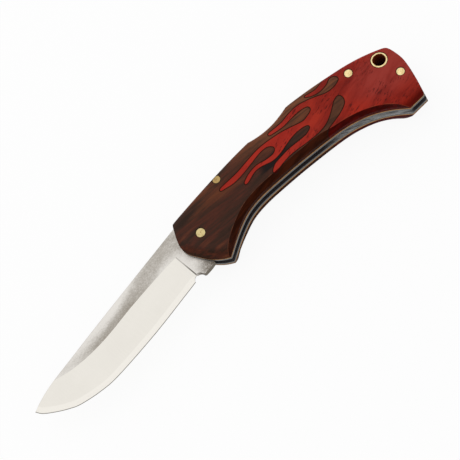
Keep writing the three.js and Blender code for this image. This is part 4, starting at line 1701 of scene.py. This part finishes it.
    def build(self, flat: bpy.types.Material, ground: bpy.types.Material) -> bpy.types.Object:
        """Makes the blade.

        Args:
            flat: The material of the flat sides.
            ground: The material of the ground bevels.

        Returns:
            The blade's object.
        """
        middle = self.form.z_mid
        hole = CrossPin("pivot_hole", 0.0, 0.0, self.pivot_hole_r)
        lines = [
            self.outline, self.grind, beside(self.edge, self.apex_width), self.plunge,
            beside(self.plunge, -self.plunge_width), beside(self.back, self.back_ease),
            hole.ring(hole.radius),
        ]
        steel = partial(inside, self.outline)
        plan, faces = Tiling(lines, self.fill).cut(steel)
        faces = kept(plan, faces, lambda x, y: steel(x, y) & (np.hypot(x, y) > hole.radius))
        coat = inside(self.ground, *plan[faces].mean(1).T).astype(int)
        high = lambda x, y: middle + self.half(x, y)
        low = lambda x, y: middle - self.half(x, y)
        skin = Skin().add_solid(plan, faces, low, high, coat)
        marks = {
            "over_grind": lambda x, y: gap(x, y, self.grind),
            "to_edge": lambda x, y: gap(x, y, self.edge),
            "to_plunge": lambda x, y: gap(x, y, self.plunge),
        }
        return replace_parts(skin.make("blade_steel", [flat, ground], marks), "blade")


@dataclass
class LeafSpring:
    """The flat spring that pushes the lock bar's tail up.

    Args:
        form: The handle's form.
        thickness: Thickness of the spring.
        side_play: Gap between it and each liner.
        ease: Radius of its eased edges.
        line_step: Distance between the points of its line.
        line: The line through its middle, from root to tip.
    """

    form: HandleForm
    thickness: float = 0.9
    side_play: float = 0.2
    ease: float = 0.12
    line_step: float = 0.8
    line: tuple[tuple[float, float], ...] = (
        (66.5, 14.95), (56.0, 15.0), (45.0, 14.55), (38.0, 13.95), (33.6, 13.6),
    )

    def build(self, steel: bpy.types.Material) -> bpy.types.Object:
        """Makes the spring.

        Args:
            steel: Its material.

        Returns:
            The spring's object.
        """
        middle = smooth(self.line, self.line_step)
        half = self.thickness / 2
        rim = np.vstack([beside(middle, half), beside(middle, -half)[::-1]])
        rim = np.vstack([rim, rim[:1]])
        inner = [beside(middle, half - self.ease), beside(middle, self.ease - half)]
        plan, faces = Tiling([rim, *inner]).cut()
        faces = kept(plan, faces, partial(inside, rim))
        low = self.form.z_far_liner + self.side_play
        high = self.form.z_near_liner - self.side_play
        drop = lambda x, y: np.clip(gap(x, y, middle) - half + self.ease, 0, self.ease)
        under = lambda x, y: low + drop(x, y)
        over = lambda x, y: high - drop(x, y)
        skin = Skin().add_solid(plan, faces, under, over)
        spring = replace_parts(skin.make("leaf_spring_steel", [steel]), "leaf_spring")
        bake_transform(spring)
        return spring


@dataclass(frozen=True)
class Lamp:
    """One large soft lamp.

    Args:
        name: Its name.
        place: Where it stands.
        size: Its width.
        watts: Its power.
    """

    name: str
    place: tuple[float, float, float]
    size: float
    watts: float


@dataclass
class Studio:
    """The camera, the lamps and the white floor.

    Args:
        middle: The point that the camera looks at.
        tilt: How far it leans toward the belly, in degrees.
        roll: How far it is turned about its own line, in degrees.
        width: Width of what it sees there.
        lens: Its focal length.
        sensor: Its sensor's width.
        clip: The nearest and the furthest distance that it sees.
        floor_half: Half the floor's width.
        floor_drop: How far the floor lies below the far face.
        floor_glow: How much of the floor is plain white where it is seen.
        room_light: Strength of the room's light.
        lamps: The lamps.
    """

    middle: tuple[float, float, float] = (9.11, -3.24, 7.45)
    tilt: float = 26.0
    roll: float = 39.0
    width: float = 171.8
    lens: float = 200.0
    sensor: float = 36.0
    clip: tuple[float, float] = (50.0, 20000.0)
    floor_half: float = 4000.0
    floor_drop: float = 0.02
    floor_glow: float = 0.92
    room_light: float = 0.74
    lamps: tuple[Lamp, ...] = (
        Lamp("key", (-150, 950, 620), 1500, 5.2), Lamp("side", (-900, 250, 420), 1100, 1.1),
    )

    def build(self) -> None:
        """Sets up everything that isn't the knife."""
        self._camera()
        self._floor()
        self._world()
        self._lamps()
        bpy.context.scene.view_settings.view_transform = "Standard"

    def _camera(self) -> None:
        """A long lens that looks down on the near face."""
        tilt, roll = math.radians(self.tilt), math.radians(self.roll)
        across = Vector((1, 0, 0))
        up = Vector((0, math.cos(tilt), math.sin(tilt)))
        back = Vector((0, -math.sin(tilt), math.cos(tilt)))
        right = math.cos(roll) * across - math.sin(roll) * up
        above = math.sin(roll) * across + math.cos(roll) * up
        distance = self.width * self.lens / self.sensor
        data = bpy.data.cameras.new("camera")
        data.lens, data.sensor_width = self.lens, self.sensor
        data.clip_start, data.clip_end = (place * MM for place in self.clip)
        camera = bpy.data.objects.new("camera", data)
        turn = Matrix((right, above, back)).transposed().to_4x4()
        camera.matrix_world = Matrix.Translation((Vector(self.middle) + back * distance) * MM) @ turn
        bpy.context.scene.collection.objects.link(camera)
        bpy.context.scene.camera = camera

    def _floor(self) -> None:
        """A wide white floor that keeps a faint shadow."""
        mesh = bpy.data.meshes.new("floor")
        half, low = self.floor_half * MM, -self.floor_drop * MM
        corners = [(-half, -half, low), (half, -half, low), (half, half, low), (-half, half, low)]
        mesh.from_pydata(corners, [], [(0, 1, 2, 3)])
        material, graph = empty_material("floor_white")
        grain = graph.noise(0.02, 0.02, detail=2.0)
        colour = graph.mix(grain, (0.86, 0.86, 0.86, 1.0), (0.88, 0.88, 0.88, 1.0))
        lit = graph.node("ShaderNodeBsdfDiffuse", {}, Color=colour)
        white = graph.node("ShaderNodeEmission", {}, Color=WHITE, Strength=1.0)
        glow = self._seen(graph) * self.floor_glow
        shader = graph.node("ShaderNodeMixShader", {}, i0=glow, i1=lit, i2=white)
        graph.node("ShaderNodeOutputMaterial", {}, Surface=shader)
        mesh.materials.append(material)
        floor = bpy.data.objects.new("floor", mesh)
        bpy.context.scene.collection.objects.link(floor)

    def _seen(self, graph: Graph) -> Tap:
        """Which rays show the background: the camera's, and those off metal or through glass.

        Args:
            graph: The graph that asks.

        Returns:
            1 for such rays and 0 for others.
        """
        camera, metal, glass = (
            graph.node("ShaderNodeLightPath", {}, output=name)
            for name in ("Is Camera Ray", "Is Glossy Ray", "Is Transmission Ray")
        )
        return graph.larger(graph.larger(camera, metal), glass)

    def _world(self) -> None:
        """A plain light room whose background is white."""
        world = bpy.data.worlds.new("room")
        bpy.context.scene.world = world
        world.use_nodes = True
        world.node_tree.nodes.clear()
        graph = Graph(world.node_tree)
        strength = self._seen(graph) * (1.0 - self.room_light) + self.room_light
        shader = graph.node("ShaderNodeBackground", {}, Color=WHITE, Strength=strength)
        graph.node("ShaderNodeOutputWorld", {}, Surface=shader)

    def _lamps(self) -> None:
        """A large soft lamp above the spine and a weak one opposite, neither mirrored in the metal."""
        for lamp in self.lamps:
            data = bpy.data.lights.new(lamp.name, "AREA")
            data.shape = "DISK"
            data.size = lamp.size * MM
            data.energy = lamp.watts
            made = bpy.data.objects.new(lamp.name, data)
            made.location = Vector(lamp.place) * MM
            aim = Vector(self.middle) * MM - made.location
            made.rotation_euler = aim.to_track_quat("-Z", "Y").to_euler()
            made.visible_glossy = False
            bpy.context.scene.collection.objects.link(made)


@dataclass
class Inside:
    """The CAD nodes that stay as they are inside the handle, with their finishes.

    Args:
        finishes: The finish's name for each node.
    """

    finishes: dict[str, str] = field(default_factory=lambda: {
        "lock_bar": "spring", "back_spacer": "liner",
        "near_washer": "brass", "far_washer": "brass",
    })

    def dress(self, nodes: dict[str, bpy.types.Object], choices: dict[str, bpy.types.Material]) -> None:
        """Gives each node its finish.

        Args:
            nodes: The CAD nodes by name.
            choices: The materials by the names that the finishes use.
        """
        for node, choice in self.finishes.items():
            for slot in nodes[node].material_slots:
                slot.material = choices[choice]
            LOG.info("dressed %s", node)


def settle(piece: bpy.types.Object, body: str | None = None) -> None:
    """Gives a piece its body, and reports it.

    Args:
        piece: The piece.
        body: The CAD body that it rides on, or none to leave it where it is.
    """
    if body:
        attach(piece, body)
    LOG.info("built %s with %d faces", piece.name, len(piece.data.polygons))


def main() -> None:
    """Builds the knife's pieces in order, dresses them and sets the stage."""
    logging.basicConfig(level=logging.INFO, format="%(message)s")
    form = HandleForm()
    pins = CrossPins(form)
    brass = Brass().material()
    shim = Brass("shim_brass", shown(172, 124, 58), shown(128, 88, 38), 0.45).material()
    liner = BrushedSteel().material()
    spring = BrushedSteel("spring_steel", shown(172, 168, 161), shown(136, 132, 126), 0.36).material()
    rosewood, red_wood = Rosewood().material(), RedWood().material()
    for piece in Scales(form, pins).build(rosewood, red_wood, Glue().material()):
        settle(piece, HANDLE_BODY)
    for piece in Liners(form, pins).build(liner, shim):
        settle(piece, HANDLE_BODY)
    brasses = {
        Polish.BRIGHT: brass,
        Polish.RUBBED: Brass("brass_rubbed", shown(216, 198, 144), shown(178, 153, 102)).material(),
        Polish.DULL: Brass("brass_dull", shown(190, 162, 106), shown(156, 128, 82), 0.5).material(),
    }
    for piece in pins.build(brasses):
        settle(piece, HANDLE_BODY)
    blade = Blade(form).build(SatinFlat().material(), GroundBevel().material())
    settle(blade, BLADE_BODY)
    settle(LeafSpring(form).build(spring))
    Inside().dress(frame["nodes"], {"spring": spring, "liner": liner, "brass": brass})
    Studio().build()


if __name__ == "__main__":
    main()
